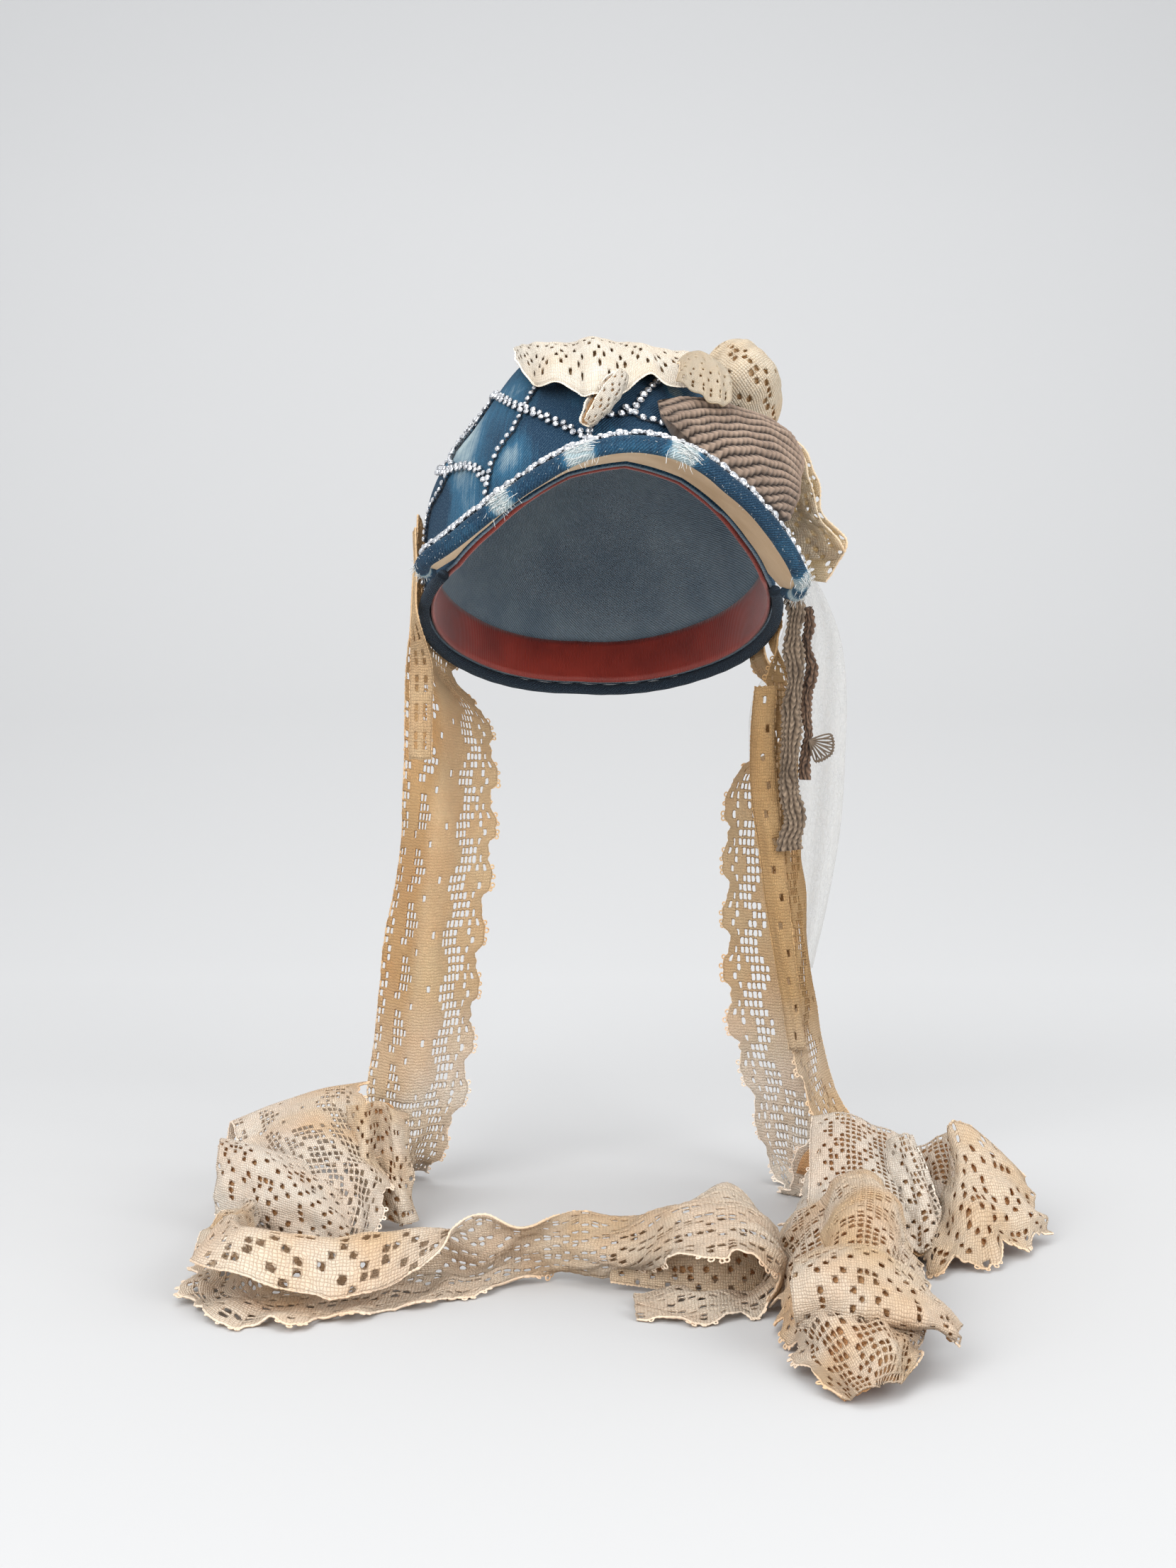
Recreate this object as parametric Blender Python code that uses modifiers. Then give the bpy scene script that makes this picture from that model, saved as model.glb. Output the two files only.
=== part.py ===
"""A washed denim peaked cap with crystal chains, lace falls and a knitted bow.

The origin is the centre of the head opening, +Z is up and the visor points to -Y. The cap
sits tilted back, as it is worn. The lace hangs from it and ends on a surface FLOOR_Z below.
"""
import math

import bmesh
import bpy
import numpy as np
from mathutils import Matrix
from mathutils import Vector

# Driving dimensions, in metres and degrees
GAP = 0.0003
FLOOR_Z = -0.310
HALF_WIDTH = 0.0885
HALF_DEPTH = 0.102
CROWN_HEIGHT = 0.120
CROWN_SQUARENESS = 0.844
BACK_SLOPE = 0.15
TILT_BACK = 27.5
TURN = 6.5
ROLL = 2.5
DENIM = 0.0020
VISOR_BOARD = 0.0022
VISOR_CLOTH = 0.0009
BINDING_RADIUS = 0.0027
RIM_ROLL_RADIUS = 0.0030
BAND_THICKNESS = 0.0015
BAND_HEIGHT = 0.028
STONE_RADIUS = 0.0016
BIG_STONE_RADIUS = 0.0022
LACE = 0.0013
SHEER = 0.0010
GAP_MIN_SIDE = 0.0065
GAP_MARGIN = 0.3
CROWN_SEGMENTS = 26
CROWN_RINGS = 9
CHAIN_STEP = 0.023
CHAIN_CLEARANCE = 0.0012
SEAM_LIFT = 0.0013
SEAM_RISE = 0.0016
VISOR_CELLS = 20
EDGE_POINTS = 21
STONE_ROW_INSET = 0.0043
STONE_ROW_SKIP = 2
STONE_ROW_SEAT = 0.0009
CLOTH_INSET = 0.0018
BAND_CLEARANCE = 0.0010
BAND_DROP = 0.0012
RIM_ROLL_START = 67.0
RIM_ROLL_POINTS = 25
RIM_ROLL_LIFT = 0.0006

# The rim's height round the head opening: it arches over the brow and dips at the temples
# columns: azimuth from the front towards +X, height above the opening's plane
RIM_LINE = (
    (-180.0, 0.000), (-135.0, -0.004), (-90.0, -0.011), (-62.0, -0.014), (-45.0, -0.007),
    (-33.0, 0.001), (-18.0, 0.010), (0.0, 0.0145), (18.0, 0.010), (33.0, 0.001),
    (45.0, -0.007), (62.0, -0.014), (90.0, -0.011), (135.0, -0.004), (180.0, 0.000),
)

# Soft dents and bulges of the crown: azimuth, height share, half width in degrees, depth
CROWN_DENTS = (
    (-69.0, 0.43, 12.0, -0.0045), (-84.0, 0.18, 13.0, 0.0030), (-42.0, 0.62, 13.0, 0.0050),
    (60.0, 0.62, 22.0, -0.0030), (150.0, 0.50, 26.0, -0.0040), (-140.0, 0.40, 24.0, 0.0020),
)

# The visor's outer edge, left to right, in the cap's own axes: across, forward, up
VISOR_EDGE = (
    (-0.0900, -0.048, -0.019), (-0.0945, -0.066, -0.028), (-0.0940, -0.086, -0.0345),
    (-0.0825, -0.110, -0.0370), (-0.0660, -0.134, -0.0335), (-0.0460, -0.153, -0.0258),
    (-0.0240, -0.165, -0.0190), (-0.0020, -0.1690, -0.0172), (0.0190, -0.1655, -0.0200),
    (0.0410, -0.153, -0.0273), (0.0600, -0.135, -0.0335), (0.0740, -0.116, -0.0385),
    (0.0840, -0.096, -0.0420), (0.0865, -0.076, -0.0370), (0.0860, -0.054, -0.0240),
)
VISOR_REACH = 60.0

# The chains that follow the front of the crown: azimuth and height share of each point
FRONT_CHAINS = (
    ((-66, 0.54), (-58, 0.48), (-49, 0.394), (-39, 0.298), (-30.7, 0.234), (-15.2, 0.132), (-8, 0.09)),
    ((-26, 0.44), (-30, 0.351), (-33.5, 0.268), (-36, 0.20), (-40.2, 0.155), (-44.4, 0.085), (-46, 0.015)),
    ((-66, 0.54), (-72, 0.42), (-71, 0.32), (-66, 0.21), (-69, 0.165), (-79, 0.11), (-87, -0.03)),
    ((-100, 0.42), (-84, 0.29), (-67, 0.19), (-56.2, 0.15), (-49.3, 0.109), (-44, 0.05)),
    ((29, 0.48), (20.5, 0.408), (9.5, 0.298), (1.7, 0.19), (-4.8, 0.18), (-9.5, 0.155), (-12.5, 0.095)),
    ((-0.5, 0.215), (5.1, 0.18), (13.4, 0.169), (17, 0.158)),
)
# The plain lattice round the sides and the back repeats these two lines
FALLING_LINE = ((-50, 0.56), (-34, 0.44), (-15, 0.32), (0, 0.225), (14, 0.13), (27, 0.03))
RISING_LINE = ((-13, 0.02), (-8, 0.12), (0, 0.225), (9, 0.34), (18, 0.46), (26, 0.56))
FALLING_STARTS = (98, 142, 186, 230)
RISING_STARTS = (84, 128, 172, 216, 260)

# Lace and knitting. A ribbon is a row of four rails, from its scalloped edge to its straight
# one, for each section of its length. Near the cap a rail is azimuth, height share and lift
# from the crown. Below it a rail is across, forward and height above the floor.
LEFT_TOP = (
    ((-136, 0.18, 0.0062), (-125, 0.19, 0.0066), (-113, 0.21, 0.0074), (-98, 0.22, 0.0074)),
    ((-136, 0.02, 0.0062), (-125, 0.01, 0.0066), (-113, 0.01, 0.0070), (-96, 0.01, 0.0066)),
    ((-136, -0.09, 0.0075), (-126, -0.10, 0.0075), (-114, -0.10, 0.0075), (-95, -0.12, 0.0075)),
)
LEFT_ROUTE = (
    ((-0.060, 0.056, 0.246), (-0.071, 0.047, 0.248), (-0.084, 0.032, 0.254), (-0.101, 0.027, 0.262)),
    ((-0.054, 0.036, 0.190), (-0.066, 0.030, 0.190), (-0.084, 0.012, 0.190), (-0.103, 0.032, 0.190)),
    ((-0.061, 0.030, 0.130), (-0.072, 0.022, 0.130), (-0.087, 0.008, 0.130), (-0.112, 0.032, 0.130)),
    ((-0.065, 0.028, 0.085), (-0.076, 0.020, 0.085), (-0.091, 0.006, 0.085), (-0.118, 0.030, 0.085)),
    ((-0.071, 0.026, 0.045), (-0.082, 0.018, 0.045), (-0.096, 0.006, 0.045), (-0.121, 0.028, 0.045)),
    ((-0.084, 0.026, 0.014), (-0.093, 0.022, 0.016), (-0.101, 0.016, 0.016), (-0.118, 0.029, 0.014)),
    ((-0.096, 0.044, 0.003), (-0.105, 0.046, 0.004), (-0.114, 0.048, 0.004), (-0.127, 0.051, 0.003)),
    ((-0.122, 0.064, 0.010), (-0.138, 0.066, 0.011), (-0.154, 0.063, 0.009), (-0.172, 0.057, 0.008)),
    ((-0.130, 0.038, 0.026), (-0.152, 0.034, 0.022), (-0.174, 0.020, 0.015), (-0.189, 0.000, 0.011)),
    ((-0.119, -0.010, 0.060), (-0.142, -0.014, 0.056), (-0.165, -0.018, 0.050), (-0.186, -0.022, 0.043)),
    ((-0.116, -0.038, 0.050), (-0.137, -0.046, 0.054), (-0.159, -0.046, 0.046), (-0.178, -0.046, 0.033)),
    ((-0.104, -0.068, 0.030), (-0.125, -0.080, 0.040), (-0.148, -0.078, 0.037), (-0.164, -0.066, 0.024)),
    ((-0.102, -0.100, 0.016), (-0.121, -0.112, 0.024), (-0.139, -0.109, 0.024), (-0.152, -0.096, 0.018)),
    ((-0.108, -0.112, 0.006), (-0.123, -0.124, 0.010), (-0.138, -0.121, 0.010), (-0.151, -0.108, 0.008)),
    ((-0.114, -0.090, 0.002), (-0.126, -0.094, 0.004), (-0.138, -0.094, 0.003), (-0.150, -0.088, 0.003)),
    ((-0.132, -0.062, 0.003), (-0.142, -0.070, 0.006), (-0.152, -0.078, 0.005), (-0.163, -0.086, 0.004)),
    ((-0.160, -0.064, 0.005), (-0.163, -0.076, 0.012), (-0.167, -0.087, 0.012), (-0.175, -0.090, 0.008)),
    ((-0.174, -0.094, 0.005), (-0.170, -0.100, 0.015), (-0.166, -0.107, 0.020), (-0.176, -0.110, 0.015)),
    ((-0.178, -0.136, 0.004), (-0.164, -0.130, 0.008), (-0.160, -0.136, 0.026), (-0.172, -0.143, 0.024)),
    ((-0.183, -0.180, 0.004), (-0.162, -0.170, 0.006), (-0.160, -0.178, 0.031), (-0.176, -0.186, 0.022)),
    ((-0.177, -0.226, 0.003), (-0.158, -0.194, 0.005), (-0.160, -0.204, 0.034), (-0.173, -0.222, 0.020)),
    ((-0.152, -0.254, 0.003), (-0.148, -0.200, 0.004), (-0.152, -0.220, 0.035), (-0.154, -0.240, 0.022)),
    ((-0.131, -0.256, 0.003), (-0.130, -0.196, 0.004), (-0.131, -0.218, 0.031), (-0.130, -0.238, 0.014)),
    ((-0.106, -0.243, 0.003), (-0.102, -0.190, 0.004), (-0.102, -0.216, 0.030), (-0.102, -0.234, 0.010)),
    ((-0.078, -0.222, 0.003), (-0.076, -0.184, 0.006), (-0.076, -0.206, 0.030), (-0.076, -0.214, 0.018)),
    ((-0.056, -0.205, 0.003), (-0.054, -0.176, 0.006), (-0.054, -0.182, 0.022), (-0.054, -0.188, 0.032)),
    ((-0.036, -0.184, 0.003), (-0.036, -0.172, 0.008), (-0.036, -0.176, 0.020), (-0.036, -0.186, 0.028)),
    ((-0.016, -0.172, 0.003), (-0.016, -0.182, 0.011), (-0.016, -0.180, 0.022), (-0.016, -0.168, 0.029)),
    ((0.010, -0.186, 0.006), (0.011, -0.196, 0.015), (0.011, -0.190, 0.025), (0.011, -0.174, 0.029)),
    ((0.037, -0.222, 0.022), (0.037, -0.205, 0.033), (0.037, -0.188, 0.037), (0.037, -0.168, 0.034)),
    ((0.060, -0.230, 0.024), (0.062, -0.208, 0.035), (0.062, -0.188, 0.038), (0.057, -0.160, 0.040)),
    ((0.075, -0.228, 0.016), (0.078, -0.208, 0.020), (0.078, -0.190, 0.021), (0.075, -0.170, 0.020)),
    ((0.066, -0.236, 0.004), (0.067, -0.216, 0.004), (0.067, -0.196, 0.004), (0.065, -0.176, 0.004)),
    ((0.042, -0.248, 0.003), (0.042, -0.226, 0.004), (0.042, -0.204, 0.004), (0.042, -0.184, 0.003)),
    ((0.014, -0.240, 0.003), (0.014, -0.228, 0.004), (0.014, -0.217, 0.004), (0.014, -0.207, 0.003)),
)

RIGHT_TOP = (
    ((126, 0.10, 0.0062), (120, 0.10, 0.0062), (114, 0.10, 0.0062), (107, 0.10, 0.0062)),
    ((126, -0.02, 0.0062), (120, -0.02, 0.0062), (114, -0.02, 0.0062), (107, -0.02, 0.0062)),
    ((125, -0.12, 0.0070), (119, -0.12, 0.0070), (113, -0.12, 0.0070), (107, -0.13, 0.0070)),
)
RIGHT_ROUTE = (
    ((0.078, 0.066, 0.255), (0.085, 0.056, 0.255), (0.094, 0.044, 0.255), (0.104, 0.048, 0.255)),
    ((0.077, 0.050, 0.226), (0.082, 0.040, 0.226), (0.090, 0.032, 0.226), (0.104, 0.052, 0.226)),
    ((0.066, 0.044, 0.189), (0.076, 0.036, 0.189), (0.088, 0.028, 0.189), (0.106, 0.054, 0.189)),
    ((0.065, 0.042, 0.148), (0.078, 0.034, 0.148), (0.091, 0.026, 0.148), (0.106, 0.054, 0.148)),
    ((0.065, 0.042, 0.114), (0.080, 0.034, 0.114), (0.096, 0.026, 0.114), (0.107, 0.054, 0.114)),
    ((0.069, 0.040, 0.077), (0.086, 0.034, 0.077), (0.102, 0.028, 0.077), (0.110, 0.052, 0.077)),
    ((0.079, 0.040, 0.044), (0.094, 0.034, 0.044), (0.108, 0.030, 0.042), (0.116, 0.046, 0.042)),
    ((0.088, 0.040, 0.012), (0.100, 0.035, 0.012), (0.112, 0.031, 0.010), (0.122, 0.038, 0.010)),
    ((0.093, 0.020, 0.003), (0.106, 0.018, 0.005), (0.119, 0.016, 0.003), (0.131, 0.014, 0.003)),
    ((0.094, -0.008, 0.004), (0.110, -0.010, 0.003), (0.126, -0.014, 0.004), (0.139, -0.024, 0.003)),
    ((0.102, -0.022, 0.032), (0.118, -0.026, 0.030), (0.134, -0.032, 0.020), (0.146, -0.042, 0.012)),
    ((0.109, -0.032, 0.044), (0.124, -0.038, 0.040), (0.138, -0.046, 0.030), (0.148, -0.054, 0.019)),
    ((0.101, -0.056, 0.024), (0.118, -0.062, 0.024), (0.134, -0.066, 0.020), (0.147, -0.072, 0.012)),
    ((0.092, -0.078, 0.008), (0.110, -0.086, 0.018), (0.128, -0.088, 0.020), (0.145, -0.090, 0.009)),
    ((0.080, -0.128, 0.006), (0.098, -0.134, 0.026), (0.122, -0.138, 0.032), (0.141, -0.138, 0.010)),
    ((0.074, -0.186, 0.005), (0.090, -0.196, 0.026), (0.114, -0.200, 0.038), (0.138, -0.196, 0.010)),
    ((0.072, -0.246, 0.004), (0.088, -0.256, 0.022), (0.108, -0.262, 0.030), (0.135, -0.262, 0.016)),
    ((0.073, -0.292, 0.003), (0.086, -0.306, 0.022), (0.104, -0.312, 0.027), (0.125, -0.302, 0.012)),
    ((0.083, -0.340, 0.003), (0.092, -0.350, 0.008), (0.105, -0.346, 0.013), (0.118, -0.328, 0.008)),
    ((0.088, -0.352, 0.003), (0.093, -0.356, 0.005), (0.102, -0.354, 0.008), (0.112, -0.342, 0.005)),
)

SASH_TOP = (
    ((90, 0.02, 0.0052), (94, 0.02, 0.0052), (98, 0.02, 0.0052), (102, 0.02, 0.0052)),
    ((91, -0.10, 0.0052), (95, -0.10, 0.0052), (99, -0.10, 0.0052), (103, -0.10, 0.0052)),
)
SASH_ROUTE = (
    ((0.086, 0.018, 0.262), (0.091, 0.014, 0.262), (0.097, 0.014, 0.262), (0.102, 0.020, 0.262)),
    ((0.087, 0.014, 0.220), (0.092, 0.011, 0.220), (0.098, 0.012, 0.220), (0.103, 0.020, 0.220)),
    ((0.093, 0.012, 0.150), (0.097, 0.010, 0.150), (0.102, 0.013, 0.150), (0.107, 0.022, 0.150)),
    ((0.098, 0.012, 0.100), (0.102, 0.010, 0.100), (0.107, 0.013, 0.100), (0.112, 0.022, 0.100)),
    ((0.102, 0.012, 0.064), (0.106, 0.012, 0.069), (0.111, 0.015, 0.073), (0.116, 0.021, 0.075)),
    ((0.116, 0.006, 0.030), (0.119, 0.008, 0.036), (0.123, 0.011, 0.041), (0.128, 0.016, 0.042)),
    ((0.136, -0.004, 0.010), (0.141, -0.003, 0.016), (0.147, -0.003, 0.020), (0.154, 0.000, 0.020)),
    ((0.154, -0.030, 0.005), (0.158, -0.027, 0.012), (0.163, -0.025, 0.015), (0.170, -0.023, 0.012)),
    ((0.147, -0.094, 0.003), (0.154, -0.080, 0.010), (0.162, -0.066, 0.015), (0.170, -0.054, 0.020)),
    ((0.151, -0.172, 0.003), (0.160, -0.146, 0.012), (0.166, -0.114, 0.024), (0.170, -0.080, 0.038)),
    ((0.172, -0.162, 0.003), (0.174, -0.132, 0.018), (0.173, -0.100, 0.034), (0.170, -0.072, 0.050)),
    ((0.194, -0.134, 0.003), (0.195, -0.112, 0.015), (0.192, -0.090, 0.030), (0.187, -0.072, 0.044)),
    ((0.212, -0.104, 0.003), (0.211, -0.096, 0.010), (0.208, -0.088, 0.018), (0.204, -0.080, 0.026)),
)

INSERTION_TOP = (
    ((-84, 0.10, 0.0055), (-87, 0.10, 0.0055), (-90, 0.10, 0.0055)),
    ((-84, -0.02, 0.0055), (-87, -0.02, 0.0055), (-90, -0.02, 0.0055)),
    ((-84, -0.16, 0.0058), (-87, -0.16, 0.0060), (-90, -0.16, 0.0062)),
)
INSERTION_ROUTE = (
    ((-0.085, -0.006, 0.270), (-0.090, -0.008, 0.270), (-0.096, -0.006, 0.270)),
    ((-0.086, -0.004, 0.220), (-0.091, -0.006, 0.220), (-0.097, -0.004, 0.220)),
    ((-0.088, -0.003, 0.180), (-0.093, -0.004, 0.180), (-0.099, -0.002, 0.180)),
)

SHEER_ROUTE = (
    ((0.0948, 0.0288, 0.324), (0.0991, 0.0282, 0.324), (0.1041, 0.0262, 0.324), (0.1086, 0.0254, 0.324)),
    ((0.0985, 0.0360, 0.306), (0.1050, 0.0365, 0.306), (0.1120, 0.0360, 0.306), (0.1190, 0.0350, 0.306)),
    ((0.0940, 0.058, 0.280), (0.1060, 0.057, 0.281), (0.1180, 0.055, 0.282), (0.1290, 0.054, 0.282)),
    ((0.0830, 0.078, 0.252), (0.1000, 0.070, 0.252), (0.1170, 0.067, 0.252), (0.1330, 0.066, 0.252)),
    ((0.0820, 0.082, 0.222), (0.1000, 0.076, 0.222), (0.1180, 0.074, 0.222), (0.1330, 0.073, 0.222)),
    ((0.0840, 0.082, 0.190), (0.1010, 0.078, 0.190), (0.1180, 0.077, 0.190), (0.1320, 0.078, 0.190)),
    ((0.0900, 0.080, 0.145), (0.1020, 0.076, 0.145), (0.1140, 0.076, 0.145), (0.1250, 0.078, 0.145)),
    ((0.0940, 0.076, 0.108), (0.1010, 0.074, 0.108), (0.1090, 0.073, 0.108), (0.1160, 0.074, 0.108)),
)

# columns: front azimuth, front height, back azimuth, back height, extra lift of the front edge
RUFFLE_TOP = (
    (-37.0, 0.431, -142, 0.60, 0.001), (-31.5, 0.345, -148, 0.60, 0.002), (-25.9, 0.283, -155, 0.58, 0.002),
    (-19.0, 0.249, -162, 0.60, 0.003), (-13.4, 0.170, -169, 0.58, 0.006), (-11.3, 0.110, -173, 0.60, 0.009),
    (-8.0, 0.110, -178, 0.58, 0.009), (-3.2, 0.172, 176, 0.60, 0.004), (1.5, 0.250, 170, 0.58, 0.002),
    (8.8, 0.308, 163, 0.58, 0.002), (15.8, 0.279, 156, 0.60, 0.005), (21.3, 0.262, 148, 0.60, 0.008),
    (27.0, 0.262, 140, 0.64, 0.010),
)
RUFFLE_LIFT = 0.0055
RUFFLE_CELLS = (22, 5)
PUFF_BASE = (84.0, 0.56)
PUFF_SPREAD = (17.0, 0.100)
PUFF_AXIS = (0.72, 0.00, 0.69)
PUFF_RISE = 0.036
PUFF_SEAT = 0.0047
PUFF_LOBE = 0.07
PUFF_SEGMENTS = 16
# columns: share of the base's spread, share of the rise
PUFF_PROFILE = ((1.0, 0.0), (1.20, 0.30), (1.22, 0.62), (1.0, 0.88), (0.60, 0.98), (0.18, 1.0))
# rails across, forward and height above the floor
RUFFLE_SIDE = (
    ((0.0800, 0.012, 0.393), (0.0865, 0.006, 0.396), (0.0935, 0.002, 0.393)),
    ((0.0840, 0.020, 0.380), (0.0945, 0.011, 0.383), (0.1034, 0.001, 0.381)),
    ((0.0865, 0.028, 0.366), (0.0995, 0.017, 0.367), (0.1102, 0.005, 0.368)),
    ((0.0870, 0.031, 0.350), (0.1035, 0.021, 0.352), (0.1136, 0.010, 0.352)),
    ((0.0873, 0.031, 0.338), (0.1090, 0.016, 0.340), (0.1253, 0.002, 0.336)),
    ((0.0875, 0.031, 0.328), (0.1085, 0.020, 0.327), (0.1232, 0.008, 0.326)),
    ((0.0877, 0.031, 0.318), (0.1040, 0.020, 0.317), (0.1146, 0.010, 0.316)),
)

# columns: azimuth, height share and lift of the upper edge, of the lower edge, bulge between
BOW_COLUMNS = (
    (10.4, 0.224, 0.0075, 10.8, 0.175, 0.0075, 0.0000), (19.8, 0.248, 0.0078, 14.8, 0.110, 0.0110, 0.0040),
    (30.2, 0.269, 0.0085, 21.5, 0.065, 0.0130, 0.0060), (40.0, 0.270, 0.0122, 29.0, 0.040, 0.0140, 0.0070),
    (48.0, 0.262, 0.0180, 37.4, 0.022, 0.0147, 0.0070), (55.0, 0.240, 0.0225, 45.6, 0.016, 0.0153, 0.0060),
    (59.2, 0.201, 0.0240, 54.0, 0.020, 0.0164, 0.0040), (60.7, 0.143, 0.0240, 58.2, 0.050, 0.0196, 0.0010),
)
BOW_CELLS = 9
BOW_RIBS = 14
BOW_RIB_DEPTH = 0.0011
BOW_SEAT = 0.0049
BOW_FOOT = 0.040

# columns: across, forward, height above the floor, half width, half thickness
TAIL_LONG = (
    (0.0987, -0.006, 0.308, 0.0060, 0.0022), (0.0985, 0.000, 0.262, 0.0060, 0.0022),
    (0.0985, 0.002, 0.215, 0.0055, 0.0022), (0.0985, 0.002, 0.200, 0.0062, 0.0024),
    (0.0985, 0.002, 0.178, 0.0072, 0.0028),
)
TAIL_SHORT = (
    (0.1060, -0.0020, 0.302, 0.0040, 0.0018), (0.1067, 0.0040, 0.262, 0.0034, 0.0018),
    (0.1067, 0.0058, 0.232, 0.0032, 0.0018), (0.1066, 0.0061, 0.214, 0.0036, 0.0022),
)
FLOWER_CENTRE = (0.1126, 0.0017, 0.2304)
FLOWER_SIZE = 0.0062
FLOWER_THICK = 0.0028
FLOWER_PETAL = 0.22


# Shape helpers

def smooth_rows(rows, count):
    """Resample rows of points (n, ..., 3) to count rows along a smooth curve of even steps."""
    rows = np.asarray(rows, float)
    flat = rows.reshape(len(rows), -1)
    steps = np.linalg.norm(np.diff(rows, axis=0).reshape(len(rows) - 1, -1, rows.shape[-1]), axis=2)
    knots = np.concatenate([[0.0], np.cumsum(steps.mean(axis=1))])
    slopes = np.gradient(flat, knots, axis=0)
    out = []
    for t in np.linspace(0.0, knots[-1], count):
        i = min(int(np.searchsorted(knots, t, side="right")) - 1, len(knots) - 2)
        span = knots[i + 1] - knots[i]
        s = (t - knots[i]) / span
        out.append(
            (2 * s**3 - 3 * s**2 + 1) * flat[i]
            + (s**3 - 2 * s**2 + s) * span * slopes[i]
            + (3 * s**2 - 2 * s**3) * flat[i + 1]
            + (s**3 - s**2) * span * slopes[i + 1]
        )
    return np.array(out).reshape((count,) + rows.shape[1:])


def sheet_points(sections, along, across):
    """A grid of points (along + 1, across + 1) through sections, each a row of rail points."""
    widened = np.array([smooth_rows(section, across + 1) for section in sections])
    return smooth_rows(widened, along + 1)


def grid_normals(grid):
    """The unit normal of a grid of points at each of them."""
    normals = np.cross(np.gradient(grid, axis=0), np.gradient(grid, axis=1))
    return normals / np.linalg.norm(normals, axis=2, keepdims=True)


def new_object(name, mesh, collection, material):
    obj = bpy.data.objects.new(name, mesh)
    mesh.materials.append(material)
    collection.objects.link(obj)
    return obj


def sheet_mesh(name, grid, ring=False, gaps=()):
    """An open sheet of quads through a grid, closed to a ring if asked, with cells pierced.

    A cell that is too narrow for a gap is left whole.
    """
    bm = bmesh.new()
    rows, columns = grid.shape[:2]
    verts = [[bm.verts.new(point) for point in row] for row in grid]
    pierced = []
    for i in range(rows if ring else rows - 1):
        for j in range(columns - 1):
            nxt = (i + 1) % rows
            face = bm.faces.new((verts[i][j], verts[nxt][j], verts[nxt][j + 1], verts[i][j + 1]))
            if (i, j) in gaps:
                pierced.append(face)
    for face in pierced:
        lengths = [edge.calc_length() for edge in face.edges]
        if min(lengths) < GAP_MIN_SIDE:
            continue
        bmesh.ops.inset_individual(bm, faces=[face], thickness=min(lengths) * GAP_MARGIN)
        bmesh.ops.delete(bm, geom=[face], context="FACES")
    bmesh.ops.recalc_face_normals(bm, faces=bm.faces)
    mesh = bpy.data.meshes.new(name)
    bm.to_mesh(mesh)
    bm.free()
    return mesh


def thicken(obj, thickness, offset=0.0):
    solid = obj.modifiers.new("Thickness", "SOLIDIFY")
    solid.thickness = thickness
    solid.offset = offset
    solid.use_even_offset = False
    return solid


def thick_sheet(name, grid, thickness, collection, material, **options):
    """A sheet of cloth with its thickness on both sides of the grid."""
    obj = new_object(name, sheet_mesh(name, grid, **options), collection, material)
    thicken(obj, thickness)
    for face in obj.data.polygons:
        face.use_smooth = True
    return obj


def tube_curve(name, points, radius, collection, material):
    """A round tube through points, with flat filled ends."""
    curve = bpy.data.curves.new(name, "CURVE")
    curve.dimensions = "3D"
    curve.bevel_depth = radius
    curve.bevel_resolution = 2
    curve.use_fill_caps = True
    spline = curve.splines.new("POLY")
    spline.points.add(len(points) - 1)
    for target, point in zip(spline.points, points):
        target.co = (*point, 1.0)
    return new_object(name, curve, collection, material)


def curve_to_mesh(obj):
    """Turn a curve object into a welded mesh object of the same name and place."""
    depsgraph = bpy.context.evaluated_depsgraph_get()
    mesh = bpy.data.meshes.new_from_object(obj.evaluated_get(depsgraph))
    bm = bmesh.new()
    bm.from_mesh(mesh)
    bmesh.ops.remove_doubles(bm, verts=bm.verts, dist=0.00001)
    bm.to_mesh(mesh)
    bm.free()
    name = obj.name
    collection = obj.users_collection[0]
    matrix = obj.matrix_world.copy()
    bpy.data.objects.remove(obj)
    welded = bpy.data.objects.new(name, mesh)
    welded.matrix_world = matrix
    collection.objects.link(welded)
    return welded


def swept_solid(name, stations, sides, collection, material):
    """A closed soft strip through stations of (point, half width, half thickness, twist)."""
    bm = bmesh.new()
    rings = []
    centres = [Vector(station[0]) for station in stations]
    for i, (point, half_width, half_thick, twist) in enumerate(stations):
        before = centres[max(i - 1, 0)]
        after = centres[min(i + 1, len(centres) - 1)]
        heading = (after - before).normalized()
        side = Vector((math.cos(twist), math.sin(twist), 0.0))
        side = (side - heading * side.dot(heading)).normalized()
        other = heading.cross(side)
        ring = []
        for k in range(sides):
            angle = 2 * math.pi * k / sides
            offset = side * (half_width * math.cos(angle)) + other * (half_thick * math.sin(angle))
            ring.append(bm.verts.new(Vector(point) + offset))
        rings.append(ring)
    for low, high in zip(rings, rings[1:]):
        for k in range(sides):
            nxt = (k + 1) % sides
            bm.faces.new((low[k], low[nxt], high[nxt], high[k]))
    bm.faces.new(rings[0])
    bm.faces.new(rings[-1])
    bmesh.ops.recalc_face_normals(bm, faces=bm.faces)
    mesh = bpy.data.meshes.new(name)
    bm.to_mesh(mesh)
    bm.free()
    return new_object(name, mesh, collection, material)


# The crown's form, shared by everything that is sewn to it

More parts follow.
